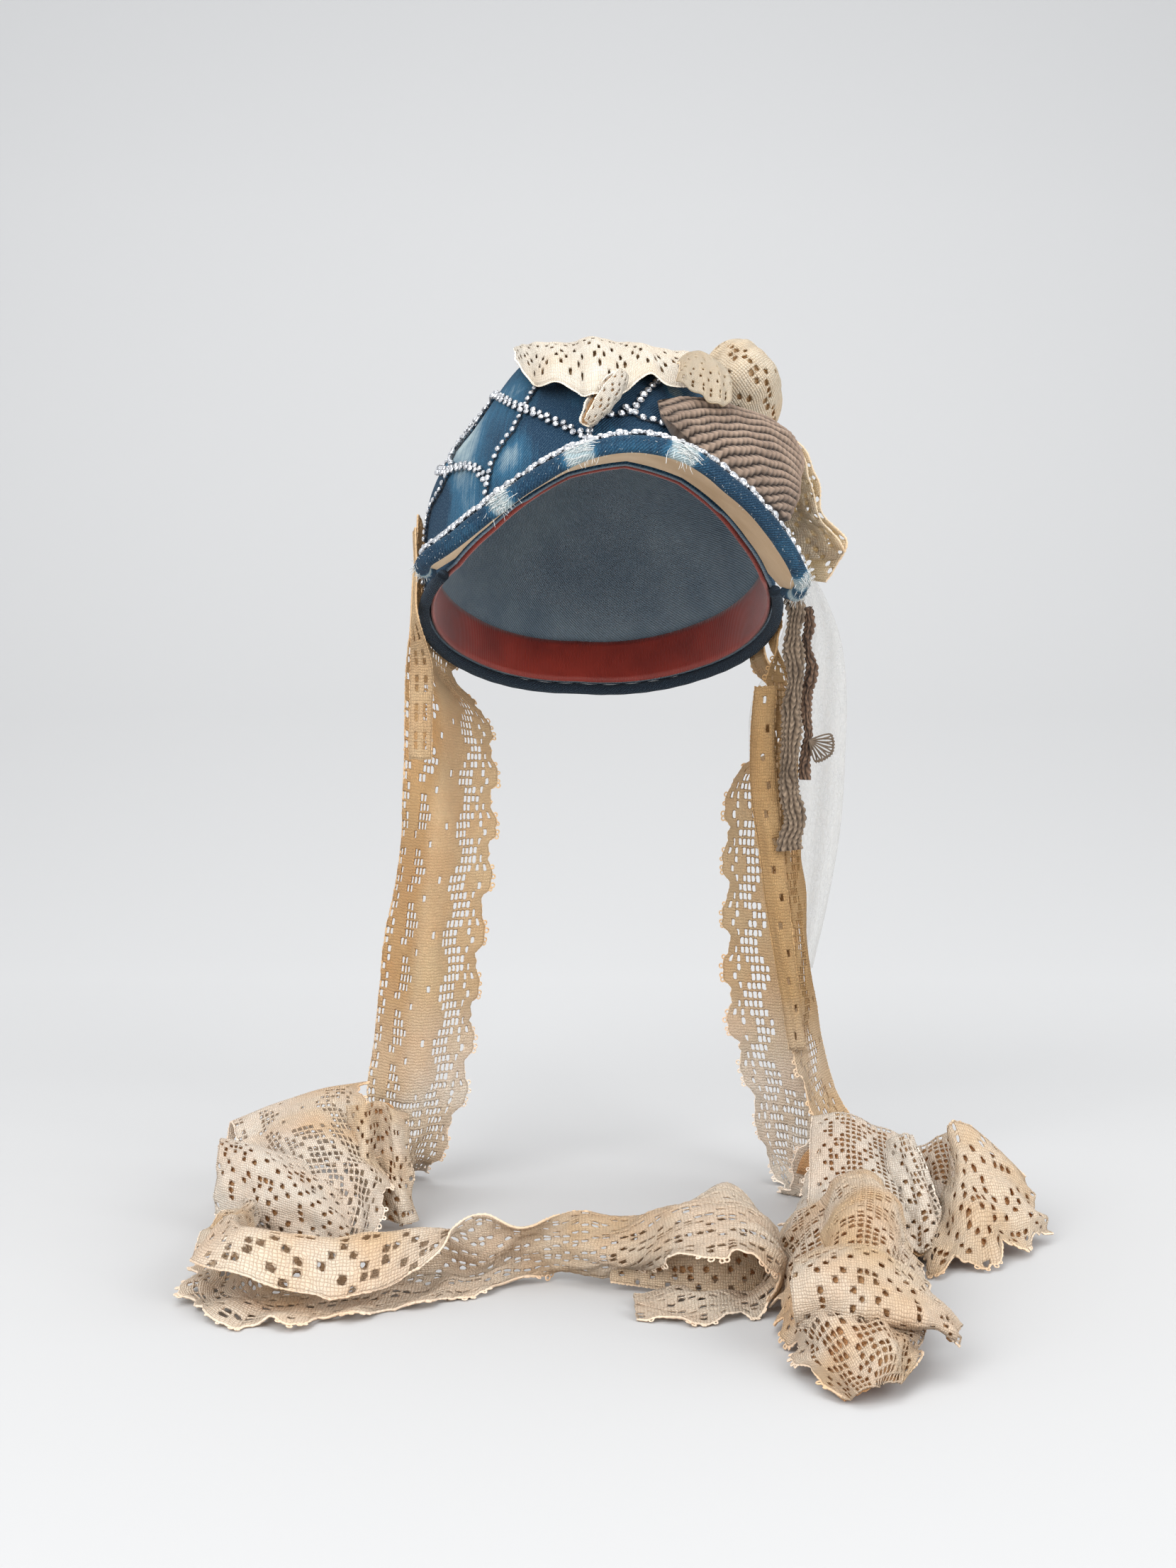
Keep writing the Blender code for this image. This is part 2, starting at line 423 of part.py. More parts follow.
def crown_point(azimuth, height, lift=0.0):
    """A point on the crown in the cap's axes: degrees from the front, share of the height."""
    a = math.radians(azimuth)
    t = min(max(height, 0.0), 1.0) * math.pi / 2
    c = math.cos(t)
    s = math.sin(t)
    wide = max(c, 0.0) ** CROWN_SQUARENESS
    z = CROWN_HEIGHT * (s**CROWN_SQUARENESS if height > 0 else height)
    if height > 0:
        z *= 1 - BACK_SLOPE * max(0.0, -math.cos(a) * wide)
    point = Vector((HALF_WIDTH * math.sin(a) * wide, -HALF_DEPTH * math.cos(a) * wide, z))
    flare = max(c, 0.0) ** (2 - CROWN_SQUARENESS)
    normal = Vector((
        math.sin(a) * flare / HALF_WIDTH,
        -math.cos(a) * flare / HALF_DEPTH,
        s ** (2 - CROWN_SQUARENESS) / CROWN_HEIGHT,
    )).normalized()
    for dent_azimuth, dent_height, spread, depth in CROWN_DENTS:
        away = (azimuth - dent_azimuth + 180) % 360 - 180
        distance = math.hypot(away / spread, (height - dent_height) * 90 / spread)
        lift += depth * math.exp(-distance * distance)
    return point + normal * lift


def rim_height(azimuth):
    """The rim's height above the opening's plane at an azimuth."""
    wrapped = (azimuth + 180) % 360 - 180
    angles = [row[0] for row in RIM_LINE]
    heights = [row[1] for row in RIM_LINE]
    return float(np.interp(wrapped, angles, heights))


def share_of_height(z):
    """The height share that crown_point needs to reach a height above the opening."""
    if z <= 0:
        return z / CROWN_HEIGHT
    return math.asin((z / CROWN_HEIGHT) ** (1 / CROWN_SQUARENESS)) / (math.pi / 2)


def rim_share(azimuth):
    return share_of_height(rim_height(azimuth))


def cap_matrix():
    turn = Matrix.Rotation(math.radians(TURN), 4, "Z")
    roll = Matrix.Rotation(math.radians(ROLL), 4, "Y")
    tilt = Matrix.Rotation(math.radians(-TILT_BACK), 4, "X")
    return turn @ roll @ tilt


def on_cap(azimuth, height, lift):
    """A point beside the crown in the row's axes."""
    return cap_matrix() @ crown_point(azimuth, height, lift)


# The cap's pieces, built in the cap's own axes

def build_crown(collection, material):
    bm = bmesh.new()
    bmesh.ops.create_uvsphere(bm, u_segments=CROWN_SEGMENTS, v_segments=2 * CROWN_RINGS, radius=1.0)
    lower = [vert for vert in bm.verts if vert.co.z < -0.0001]
    bmesh.ops.delete(bm, geom=lower, context="VERTS")
    for vert in bm.verts:
        azimuth = math.degrees(math.atan2(vert.co.x, -vert.co.y))
        share = math.asin(min(1.0, max(0.0, vert.co.z))) / (math.pi / 2)
        low = rim_share(azimuth)
        vert.co = crown_point(azimuth, low + (1 - low) * share)
    mesh = bpy.data.meshes.new("crown")
    bm.to_mesh(mesh)
    bm.free()
    mesh.shade_smooth()
    crown = new_object("crown", mesh, collection, material)
    thicken(crown, DENIM, offset=-1.0)
    return crown


def visor_rails(count):
    """The visor's seam on the crown and its outer edge, as two rows of count points."""
    outer = smooth_rows(VISOR_EDGE, count)
    inner = []
    for i in range(count):
        azimuth = VISOR_REACH * (2 * i / (count - 1) - 1)
        seam = crown_point(azimuth, rim_share(azimuth), SEAM_LIFT)
        inner.append(seam + Vector((0, 0, SEAM_RISE)))
    return np.array(inner), outer


def inward_steps(inner, outer):
    """Steps from the outer edge towards the seam that go one metre square to the edge."""
    inward = inner - outer
    inward /= np.linalg.norm(inward, axis=1, keepdims=True)
    along = np.gradient(outer, axis=0)
    along /= np.linalg.norm(along, axis=1, keepdims=True)
    slant = np.linalg.norm(np.cross(inward, along), axis=1, keepdims=True)
    return inward / np.maximum(slant, 0.4)


def visor_grid():
    """The visor board's middle surface, from the seam to just inside the binding."""
    inner, outer = visor_rails(VISOR_CELLS + 1)
    edge = outer + inward_steps(inner, outer) * (BINDING_RADIUS + 2 * GAP)
    shares = np.linspace(0.0, 1.0, 4)[None, :, None]
    return inner[:, None, :] * (1 - shares) + edge[:, None, :] * shares


def upward_normals(grid):
    normals = grid_normals(grid)
    if normals[..., 2].mean() < 0:
        normals = -normals
    return normals


def build_visor(collection, board_material, cloth_material, binding_material, stone_material):
    grid = visor_grid()
    up = upward_normals(grid)
    thick_sheet("visor_board", grid, VISOR_BOARD, collection, board_material)
    below = grid - up * (VISOR_BOARD / 2 + GAP + VISOR_CLOTH / 2)
    step_out = below[:, -1] - below[:, 0]
    below[:, 0] += step_out / np.linalg.norm(step_out, axis=1, keepdims=True) * CLOTH_INSET
    thick_sheet("visor_underside", below, VISOR_CLOTH, collection, cloth_material)
    inner, outer = visor_rails(EDGE_POINTS)
    tube_curve("visor_binding", outer, BINDING_RADIUS, collection, binding_material)
    inward = inward_steps(inner, outer)
    edge_up = smooth_rows(up[:, -1], EDGE_POINTS)
    row = outer + inward * STONE_ROW_INSET + edge_up * (VISOR_BOARD / 2 + STONE_ROW_SEAT + BIG_STONE_RADIUS)
    row = row[STONE_ROW_SKIP:-STONE_ROW_SKIP]
    tube_curve("crystal_visor_row", row, BIG_STONE_RADIUS, collection, stone_material)


def build_sweatband(collection, material):
    inset = -(DENIM + BAND_CLEARANCE + BAND_THICKNESS / 2)
    rows = []
    for i in range(CROWN_SEGMENTS):
        azimuth = 360.0 * i / CROWN_SEGMENTS
        low = rim_height(azimuth) - BAND_DROP
        column = []
        for z in (low, low + BAND_HEIGHT / 2, low + BAND_HEIGHT):
            point = crown_point(azimuth, share_of_height(z), inset)
            column.append(point)
        rows.append(column)
    grid = np.array(rows)
    thick_sheet("sweatband", grid, BAND_THICKNESS, collection, material, ring=True)


def build_rim_roll(collection, material):
    points = []
    for azimuth in np.linspace(RIM_ROLL_START, 360 - RIM_ROLL_START, RIM_ROLL_POINTS):
        seat = crown_point(azimuth, rim_share(azimuth), RIM_ROLL_LIFT)
        points.append(seat - Vector((0, 0, RIM_ROLL_RADIUS + 2 * GAP)))
    tube_curve("rim_binding", points, RIM_ROLL_RADIUS, collection, material)


def chain_points(route):
    """Points a chain step apart along a route of azimuths and height shares."""
    dense = smooth_rows(np.array(route, float), 120)
    lift = STONE_RADIUS + CHAIN_CLEARANCE
    line = np.array([crown_point(azimuth, height, lift) for azimuth, height in dense])
    length = np.linalg.norm(np.diff(line, axis=0), axis=1).sum()
    return smooth_rows(line, max(3, round(length / CHAIN_STEP) + 1))


def lattice_routes():
    routes = list(FRONT_CHAINS)
    for start in FALLING_STARTS:
        routes.append([(start + azimuth, height) for azimuth, height in FALLING_LINE])
    for start in RISING_STARTS:
        routes.append([(start + azimuth, height) for azimuth, height in RISING_LINE])
    return routes


def build_lattice(collection, guides, material):
    """All the crown's chains fused to one body."""
    chains = []
    for i, route in enumerate(lattice_routes()):
        name = "crystal_lattice" if i == 0 else f"chain_{i}"
        tube = tube_curve(name, chain_points(route), STONE_RADIUS, collection if i == 0 else guides, material)
        chains.append(curve_to_mesh(tube))
    union = chains[0].modifiers.new("Union", "BOOLEAN")
    union.operation = "UNION"
    union.operand_type = "COLLECTION"
    union.collection = guides
    union.solver = "EXACT"
    for chain in chains[1:]:
        chain.hide_render = True
        chain.display_type = "WIRE"
    return chains[0]


# The lace, the sheer strip and the knitting, in the row's axes

def cap_rails(rows):
    """Rail points given beside the crown: azimuth, height share and lift of each."""
    return [[on_cap(*rail) for rail in row] for row in rows]


def floor_rails(rows):
    """Rail points given across, forward and above the floor."""
    return [[(x, y, height + FLOOR_Z) for x, y, height in row] for row in rows]


def gap_cells(along, columns, first, last, step):
    """Pierced cells: the given columns by turns, every step cells of the length."""
    cells = set()
    for count, i in enumerate(range(first, min(last, along), step)):
        cells.add((i, columns[count % len(columns)]))
    return cells


def build_ribbon(name, rails, along, across, thickness, collection, material, gaps=()):
    grid = sheet_points(rails, along, across)
    grid[..., 2] = np.maximum(grid[..., 2], FLOOR_Z + thickness / 2 + GAP)
    return thick_sheet(name, grid, thickness, collection, material, gaps=gaps)


def build_falls(collection, materials):
    lace = materials["lace"]
    left = cap_rails(LEFT_TOP) + floor_rails(LEFT_ROUTE)
    build_ribbon("lace_left", left, 68, 4, LACE, collection, lace, gap_cells(68, (1, 2), 5, 66, 3))
    right = cap_rails(RIGHT_TOP) + floor_rails(RIGHT_ROUTE)
    build_ribbon("lace_right", right, 40, 4, LACE, collection, lace, gap_cells(40, (1, 2), 3, 39, 3))
    sash = cap_rails(SASH_TOP) + floor_rails(SASH_ROUTE)
    build_ribbon("lace_sash_right", sash, 32, 4, LACE, collection, lace, gap_cells(32, (1, 2), 20, 31, 2))
    insertion = cap_rails(INSERTION_TOP) + floor_rails(INSERTION_ROUTE)
    build_ribbon("lace_insertion_left", insertion, 16, 2, LACE, collection, lace)
    sheer = floor_rails(SHEER_ROUTE)
    build_ribbon("sheer_fall", sheer, 18, 4, SHEER, collection, materials["sheer"])


def over_crown(azimuth, height):
    """A crown point as its share of the width and its angle over the top from the front."""
    wide = math.cos(height * math.pi / 2) ** CROWN_SQUARENESS
    across = math.sin(math.radians(azimuth)) * wide
    forward = math.cos(math.radians(azimuth)) * wide / math.sqrt(1 - across * across)
    return np.array([across, math.acos(forward)])


def crown_angles(across, over):
    """The azimuth and height share of a point that over_crown measured."""
    forward = math.sqrt(1 - across * across) * math.cos(over)
    wide = math.hypot(across, forward)
    height = math.acos(wide ** (1 / CROWN_SQUARENESS)) / (math.pi / 2)
    return math.degrees(math.atan2(across, forward)), height


def build_top_ruffle(collection, material):
    """A sheet over the top of the crown, whose front edge waves up and down."""
    cells, depth_cells = RUFFLE_CELLS
    rows = []
    for front_azimuth, front_height, back_azimuth, back_height, wave in RUFFLE_TOP:
        front = over_crown(front_azimuth, front_height)
        back = over_crown(back_azimuth, back_height)
        row = []
        for share in np.linspace(0.0, 1.0, depth_cells + 1):
            azimuth, height = crown_angles(*(front * (1 - share) + back * share))
            row.append(on_cap(azimuth, height, RUFFLE_LIFT + wave * (1 - share) ** 3))
        rows.append(row)
    grid = smooth_rows(np.array(rows), cells + 1)
    gaps = gap_cells(cells, (0, 2, 4), 1, cells, 2)
    thick_sheet("lace_ruffle_top", grid, LACE, collection, material, gaps=gaps)


def build_puff(collection, material):
    """A blown up loop of lace, open where it sits on the crown."""
    centre = on_cap(*PUFF_BASE, PUFF_SEAT)
    rows = []
    for k in range(PUFF_SEGMENTS):
        angle = 2 * math.pi * k / PUFF_SEGMENTS
        lobes = 1 + PUFF_LOBE * math.cos(3 * angle)
        azimuth = PUFF_BASE[0] + PUFF_SPREAD[0] * lobes * math.sin(angle)
        height = PUFF_BASE[1] + PUFF_SPREAD[1] * lobes * math.cos(angle)
        spoke = on_cap(azimuth, height, PUFF_SEAT) - centre
        rows.append([centre + spoke * wide + Vector(PUFF_AXIS) * (PUFF_RISE * up) for wide, up in PUFF_PROFILE])
    thick_sheet("lace_puff", np.array(rows), LACE, collection, material, ring=True)


def build_side_ruffle(collection, material):
    grid = sheet_points(floor_rails(RUFFLE_SIDE), 14, 3)
    thick_sheet("lace_ruffle_side", grid, LACE, collection, material, gaps=gap_cells(14, (1, 2), 1, 13, 2))


def build_bow(collection, material):
    """A padded wedge of ribbed knitting: closed rings from its tip to its folded end."""
    rings = []
    for column in smooth_rows(np.array(BOW_COLUMNS), BOW_CELLS + 1):
        top = column[:3]
        low = column[3:6]
        ring = []
        for k in range(2 * BOW_RIBS + 1):
            share = k / (2 * BOW_RIBS)
            swell = math.sqrt(max(0.0, 1 - (2 * share - 1) ** 4))
            azimuth, height, lift = top * (1 - share) + low * share
            ring.append(on_cap(azimuth, height, lift + column[6] * swell - BOW_RIB_DEPTH * (k % 2) * swell))
        foot = min(rim_share(low[0]) + BOW_FOOT, low[1])
        for share in (1.0, 0.5, 0.0):
            azimuth = top[0] * (1 - share) + low[0] * share
            height = top[1] * (1 - share) + foot * share
            ring.append(on_cap(azimuth, height, BOW_SEAT))
        rings.append(ring)
    bm = bmesh.new()
    verts = [[bm.verts.new(point) for point in ring] for ring in rings]
    size = len(verts[0])
    for low, high in zip(verts, verts[1:]):
        for k in range(size):
            nxt = (k + 1) % size
            bm.faces.new((low[k], low[nxt], high[nxt], high[k]))
    for ring in (verts[0], verts[-1]):
        centre = bm.verts.new(sum((vert.co for vert in ring), Vector()) / size)
        for k in range(size):
            bm.faces.new((ring[k], ring[(k + 1) % size], centre))
    bmesh.ops.recalc_face_normals(bm, faces=bm.faces)
    mesh = bpy.data.meshes.new("knit_bow")
    bm.to_mesh(mesh)
    bm.free()
    new_object("knit_bow", mesh, collection, material)


def build_tails(collection, material):
    for name, rows in (("knit_tail_long", TAIL_LONG), ("knit_tail_short", TAIL_SHORT)):
        stations = []
        for x, y, height, half_width, half_thick in rows:
            stations.append(((x, y, height + FLOOR_Z), half_width, half_thick, 0.0))
        swept_solid(name, stations, 10, collection, material)
    bm = bmesh.new()
    bmesh.ops.create_uvsphere(bm, u_segments=15, v_segments=8, radius=1.0)
    for vert in bm.verts:
        angle = math.atan2(vert.co.z, vert.co.x)
        petal = 1 + FLOWER_PETAL * math.cos(5 * angle)
        vert.co = (
            FLOWER_CENTRE[0] + vert.co.x * FLOWER_SIZE * petal,
            FLOWER_CENTRE[1] + vert.co.y * FLOWER_THICK,
            FLOWER_CENTRE[2] + FLOOR_Z + vert.co.z * FLOWER_SIZE * petal,
        )
    mesh = bpy.data.meshes.new("knit_flower")
    bm.to_mesh(mesh)
    bm.free()
    new_object("knit_flower", mesh, collection, material)


# Materials: name, colour, roughness, metallic

LOOKS = {
    "denim": ((0.16, 0.27, 0.42), 0.85, 0.0),
    "denim_dark": ((0.10, 0.17, 0.27), 0.85, 0.0),
    "underside": ((0.80, 0.66, 0.48), 0.8, 0.0),
    "sweatband": ((0.50, 0.12, 0.06), 0.5, 0.0),
    "stones": ((0.86, 0.88, 0.92), 0.12, 0.6),
    "lace": ((0.86, 0.68, 0.48), 0.85, 0.0),
    "lace_cream": ((0.90, 0.82, 0.68), 0.85, 0.0),
    "sheer": ((0.93, 0.93, 0.93), 0.7, 0.0),
    "knit": ((0.32, 0.24, 0.19), 0.9, 0.0),
}


def build_materials():
    made = {}
    for name, (colour, roughness, metallic) in LOOKS.items():
        material = bpy.data.materials.new(name)
        material.use_nodes = True
        shader = material.node_tree.nodes["Principled BSDF"]
        shader.inputs["Base Color"].default_value = (*colour, 1.0)
        shader.inputs["Roughness"].default_value = roughness
        shader.inputs["Metallic"].default_value = metallic
        made[name] = material
    return made


def main():
    for obj in list(bpy.data.objects):
        bpy.data.objects.remove(obj)
    parts = bpy.data.collections.new("denim_cap")
    guides = bpy.data.collections.new("guides")
    for collection in (parts, guides):
        bpy.context.scene.collection.children.link(collection)
    materials = build_materials()
    build_crown(parts, materials["denim"])
    build_visor(parts, materials["denim"], materials["underside"], materials["denim"], materials["stones"])
    build_sweatband(parts, materials["sweatband"])
    build_rim_roll(parts, materials["denim_dark"])
    build_lattice(parts, guides, materials["stones"])
    seat = bpy.data.objects.new("cap_seat", None)
    parts.objects.link(seat)
    seat.matrix_world = cap_matrix()
    for obj in list(parts.objects) + list(guides.objects):
        if obj is not seat:
            obj.parent = seat
    build_falls(parts, materials)
    build_top_ruffle(parts, materials["lace_cream"])
    build_puff(parts, materials["lace_cream"])
    build_side_ruffle(parts, materials["lace_cream"])
    build_bow(parts, materials["knit"])
    build_tails(parts, materials["knit"])


main()
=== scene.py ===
"""How the decorated denim cap looks: its cloth, lace, knitting and stones.

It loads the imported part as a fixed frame. Metres, +Z up, the visor points to -Y. The sizes and
tables that shape the cap repeat those of the part's source.
"""

import math

import bmesh
import bpy
import numpy as np
from mathutils import Matrix
from mathutils import Vector


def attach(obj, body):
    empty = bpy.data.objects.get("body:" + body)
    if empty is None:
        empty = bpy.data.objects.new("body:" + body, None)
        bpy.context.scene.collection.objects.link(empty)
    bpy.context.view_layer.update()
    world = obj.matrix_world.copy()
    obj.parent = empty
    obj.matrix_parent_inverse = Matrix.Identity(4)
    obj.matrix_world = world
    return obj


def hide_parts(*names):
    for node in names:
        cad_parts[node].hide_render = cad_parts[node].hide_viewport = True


# Driving dimensions, in metres and degrees
GAP = 0.0003
FLOOR_Z = -0.310
HALF_WIDTH = 0.0885
HALF_DEPTH = 0.102
CROWN_HEIGHT = 0.120
CROWN_SQUARENESS = 0.844
BACK_SLOPE = 0.15
TILT_BACK = 27.5
TURN = 6.5
ROLL = 2.5
DENIM = 0.0020
VISOR_BOARD = 0.0022
VISOR_CLOTH = 0.0009
VISOR_REACH = 60.0
BINDING_RADIUS = 0.0027
RIM_ROLL_RADIUS = 0.0030
RIM_ROLL_START = 67.0
RIM_ROLL_LIFT = 0.0006
BAND_THICKNESS = 0.0015
BAND_HEIGHT = 0.028
BAND_CLEARANCE = 0.0010
BAND_DROP = 0.0012
BIG_STONE_RADIUS = 0.0022
LACE = 0.0013
SHEER = 0.0010
CHAIN_CLEARANCE = 0.0012
SEAM_LIFT = 0.0013
SEAM_RISE = 0.0016
EDGE_POINTS = 21
STONE_ROW_INSET = 0.0043
STONE_ROW_SKIP = 2
STONE_ROW_SEAT = 0.0009
CLOTH_INSET = 0.0018
RUFFLE_LIFT = 0.0055
PUFF_BASE = (84.0, 0.56)
PUFF_SPREAD = (17.0, 0.100)
PUFF_AXIS = (0.72, 0.00, 0.69)
PUFF_RISE = 0.036
PUFF_SEAT = 0.0047
PUFF_LOBE = 0.07
BOW_SEAT = 0.0049
BOW_FOOT = 0.040
FLOWER_CENTRE = (0.1126, 0.0017, 0.2304)

# The rim's height round the head opening: it arches over the brow and dips at the temples
# columns: azimuth from the front towards +X, height above the opening's plane
RIM_LINE = (
    (-180.0, 0.000), (-135.0, -0.004), (-90.0, -0.011), (-62.0, -0.014), (-45.0, -0.007), (-33.0, 0.001),
    (-18.0, 0.010), (0.0, 0.0145), (18.0, 0.010), (33.0, 0.001), (45.0, -0.007), (62.0, -0.014),
    (90.0, -0.011), (135.0, -0.004), (180.0, 0.000),
)

# Soft dents and bulges of the crown: azimuth, height share, half width in degrees, depth
CROWN_DENTS = (
    (-69.0, 0.43, 12.0, -0.0045), (-84.0, 0.18, 13.0, 0.0030), (-42.0, 0.62, 13.0, 0.0050),
    (60.0, 0.62, 22.0, -0.0030), (150.0, 0.50, 26.0, -0.0040), (-140.0, 0.40, 24.0, 0.0020),
)

# The visor's outer edge, left to right, in the cap's own axes: across, forward, up
VISOR_EDGE = (
    (-0.0900, -0.048, -0.019), (-0.0945, -0.066, -0.028), (-0.0940, -0.086, -0.0345),
    (-0.0825, -0.110, -0.0370), (-0.0660, -0.134, -0.0335), (-0.0460, -0.153, -0.0258),
    (-0.0240, -0.165, -0.0190), (-0.0020, -0.1690, -0.0172), (0.0190, -0.1655, -0.0200),
    (0.0410, -0.153, -0.0273), (0.0600, -0.135, -0.0335), (0.0740, -0.116, -0.0385),
    (0.0840, -0.096, -0.0420), (0.0865, -0.076, -0.0370), (0.0860, -0.054, -0.0240),
)

# The chains that follow the front of the crown: azimuth and height share of each point
FRONT_CHAINS = (
    ((-66, 0.54), (-58, 0.48), (-49, 0.394), (-39, 0.298), (-30.7, 0.234), (-15.2, 0.132), (-8, 0.09)),
    ((-26, 0.44), (-30, 0.351), (-33.5, 0.268), (-36, 0.20), (-40.2, 0.155), (-44.4, 0.085), (-46, 0.015)),
    ((-66, 0.54), (-72, 0.42), (-71, 0.32), (-66, 0.21), (-69, 0.165), (-79, 0.11), (-87, -0.03)),
    ((-100, 0.42), (-84, 0.29), (-67, 0.19), (-56.2, 0.15), (-49.3, 0.109), (-44, 0.05)),
    ((29, 0.48), (20.5, 0.408), (9.5, 0.298), (1.7, 0.19), (-4.8, 0.18), (-9.5, 0.155), (-12.5, 0.095)),
    ((-0.5, 0.215), (5.1, 0.18), (13.4, 0.169), (17, 0.158)),
)
# The plain lattice round the sides and the back repeats these two lines
FALLING_LINE = ((-50, 0.56), (-34, 0.44), (-15, 0.32), (0, 0.225), (14, 0.13), (27, 0.03))
RISING_LINE = ((-13, 0.02), (-8, 0.12), (0, 0.225), (9, 0.34), (18, 0.46), (26, 0.56))
FALLING_STARTS = (98, 142, 186, 230)
RISING_STARTS = (84, 128, 172, 216, 260)

# Lace. A ribbon is a row of rails, from its scalloped edge to its straight one, for each
# section of its length. Rails beside the crown: azimuth, height share and lift in metres
LEFT_TOP = (
    ((-136, 0.18, 0.0062), (-125, 0.19, 0.0066), (-113, 0.21, 0.0074), (-98, 0.22, 0.0074)),
    ((-136, 0.02, 0.0062), (-125, 0.01, 0.0066), (-113, 0.01, 0.0070), (-96, 0.01, 0.0066)),
    ((-136, -0.09, 0.0075), (-126, -0.10, 0.0075), (-114, -0.10, 0.0075), (-95, -0.12, 0.0075)),
)
RIGHT_TOP = (
    ((126, 0.10, 0.0062), (120, 0.10, 0.0062), (114, 0.10, 0.0062), (107, 0.10, 0.0062)),
    ((126, -0.02, 0.0062), (120, -0.02, 0.0062), (114, -0.02, 0.0062), (107, -0.02, 0.0062)),
    ((125, -0.12, 0.0070), (119, -0.12, 0.0070), (113, -0.12, 0.0070), (107, -0.13, 0.0070)),
)
SASH_TOP = (
    ((90, 0.02, 0.0052), (94, 0.02, 0.0052), (98, 0.02, 0.0052), (102, 0.02, 0.0052)),
    ((91, -0.10, 0.0052), (95, -0.10, 0.0052), (99, -0.10, 0.0052), (103, -0.10, 0.0052)),
)
INSERTION_TOP = (
    ((-84, 0.10, 0.0055), (-87, 0.10, 0.0055), (-90, 0.10, 0.0055)),
    ((-84, -0.02, 0.0055), (-87, -0.02, 0.0055), (-90, -0.02, 0.0055)),
    ((-84, -0.16, 0.0058), (-87, -0.16, 0.0060), (-90, -0.16, 0.0062)),
)

# Rails below the cap, in millimetres: across, forward, height above the floor
LEFT_ROUTE = (
    ((-60, 56, 246), (-71, 47, 248), (-84, 32, 254), (-101, 27, 262)),
    ((-54, 36, 190), (-66, 30, 190), (-84, 12, 190), (-103, 32, 190)),
    ((-61, 30, 130), (-72, 22, 130), (-87, 8, 130), (-112, 32, 130)),
    ((-65, 28, 85), (-76, 20, 85), (-91, 6, 85), (-118, 30, 85)),
    ((-71, 26, 45), (-82, 18, 45), (-96, 6, 45), (-121, 28, 45)),
    ((-84, 26, 14), (-93, 22, 16), (-101, 16, 16), (-118, 29, 14)),
    ((-96, 44, 3), (-105, 46, 4), (-114, 48, 4), (-127, 51, 3)),
    ((-122, 64, 10), (-138, 66, 11), (-154, 63, 9), (-172, 57, 8)),
    ((-130, 38, 26), (-152, 34, 22), (-174, 20, 15), (-189, 0, 11)),
    ((-119, -10, 60), (-142, -14, 56), (-165, -18, 50), (-186, -22, 43)),
    ((-116, -38, 50), (-137, -46, 54), (-159, -46, 46), (-178, -46, 33)),
    ((-104, -68, 30), (-125, -80, 40), (-148, -78, 37), (-164, -66, 24)),
    ((-102, -100, 16), (-121, -112, 24), (-139, -109, 24), (-152, -96, 18)),
    ((-108, -112, 6), (-123, -124, 10), (-138, -121, 10), (-151, -108, 8)),
    ((-114, -90, 2), (-126, -94, 4), (-138, -94, 3), (-150, -88, 3)),
    ((-132, -62, 3), (-142, -70, 6), (-152, -78, 5), (-163, -86, 4)),
    ((-160, -64, 5), (-163, -76, 12), (-167, -87, 12), (-175, -90, 8)),
    ((-174, -94, 5), (-170, -100, 15), (-166, -107, 20), (-176, -110, 15)),
    ((-178, -136, 4), (-164, -130, 8), (-160, -136, 26), (-172, -143, 24)),
    ((-183, -180, 4), (-162, -170, 6), (-160, -178, 31), (-176, -186, 22)),
    ((-177, -226, 3), (-158, -194, 5), (-160, -204, 34), (-173, -222, 20)),
    ((-152, -254, 3), (-148, -200, 4), (-152, -220, 35), (-154, -240, 22)),
    ((-131, -256, 3), (-130, -196, 4), (-131, -218, 31), (-130, -238, 14)),
    ((-106, -243, 3), (-102, -190, 4), (-102, -216, 30), (-102, -234, 10)),
    ((-78, -222, 3), (-76, -184, 6), (-76, -206, 30), (-76, -214, 18)),
    ((-56, -205, 3), (-54, -176, 6), (-54, -182, 22), (-54, -188, 32)),
    ((-36, -184, 3), (-36, -172, 8), (-36, -176, 20), (-36, -186, 28)),
    ((-16, -172, 3), (-16, -182, 11), (-16, -180, 22), (-16, -168, 29)),
    ((10, -186, 6), (11, -196, 15), (11, -190, 25), (11, -174, 29)),
    ((37, -222, 22), (37, -205, 33), (37, -188, 37), (37, -168, 34)),
    ((60, -230, 24), (62, -208, 35), (62, -188, 38), (57, -160, 40)),
    ((75, -228, 16), (78, -208, 20), (78, -190, 21), (75, -170, 20)),
    ((66, -236, 4), (67, -216, 4), (67, -196, 4), (65, -176, 4)),
    ((42, -248, 3), (42, -226, 4), (42, -204, 4), (42, -184, 3)),
    ((14, -240, 3), (14, -228, 4), (14, -217, 4), (14, -207, 3)),
)
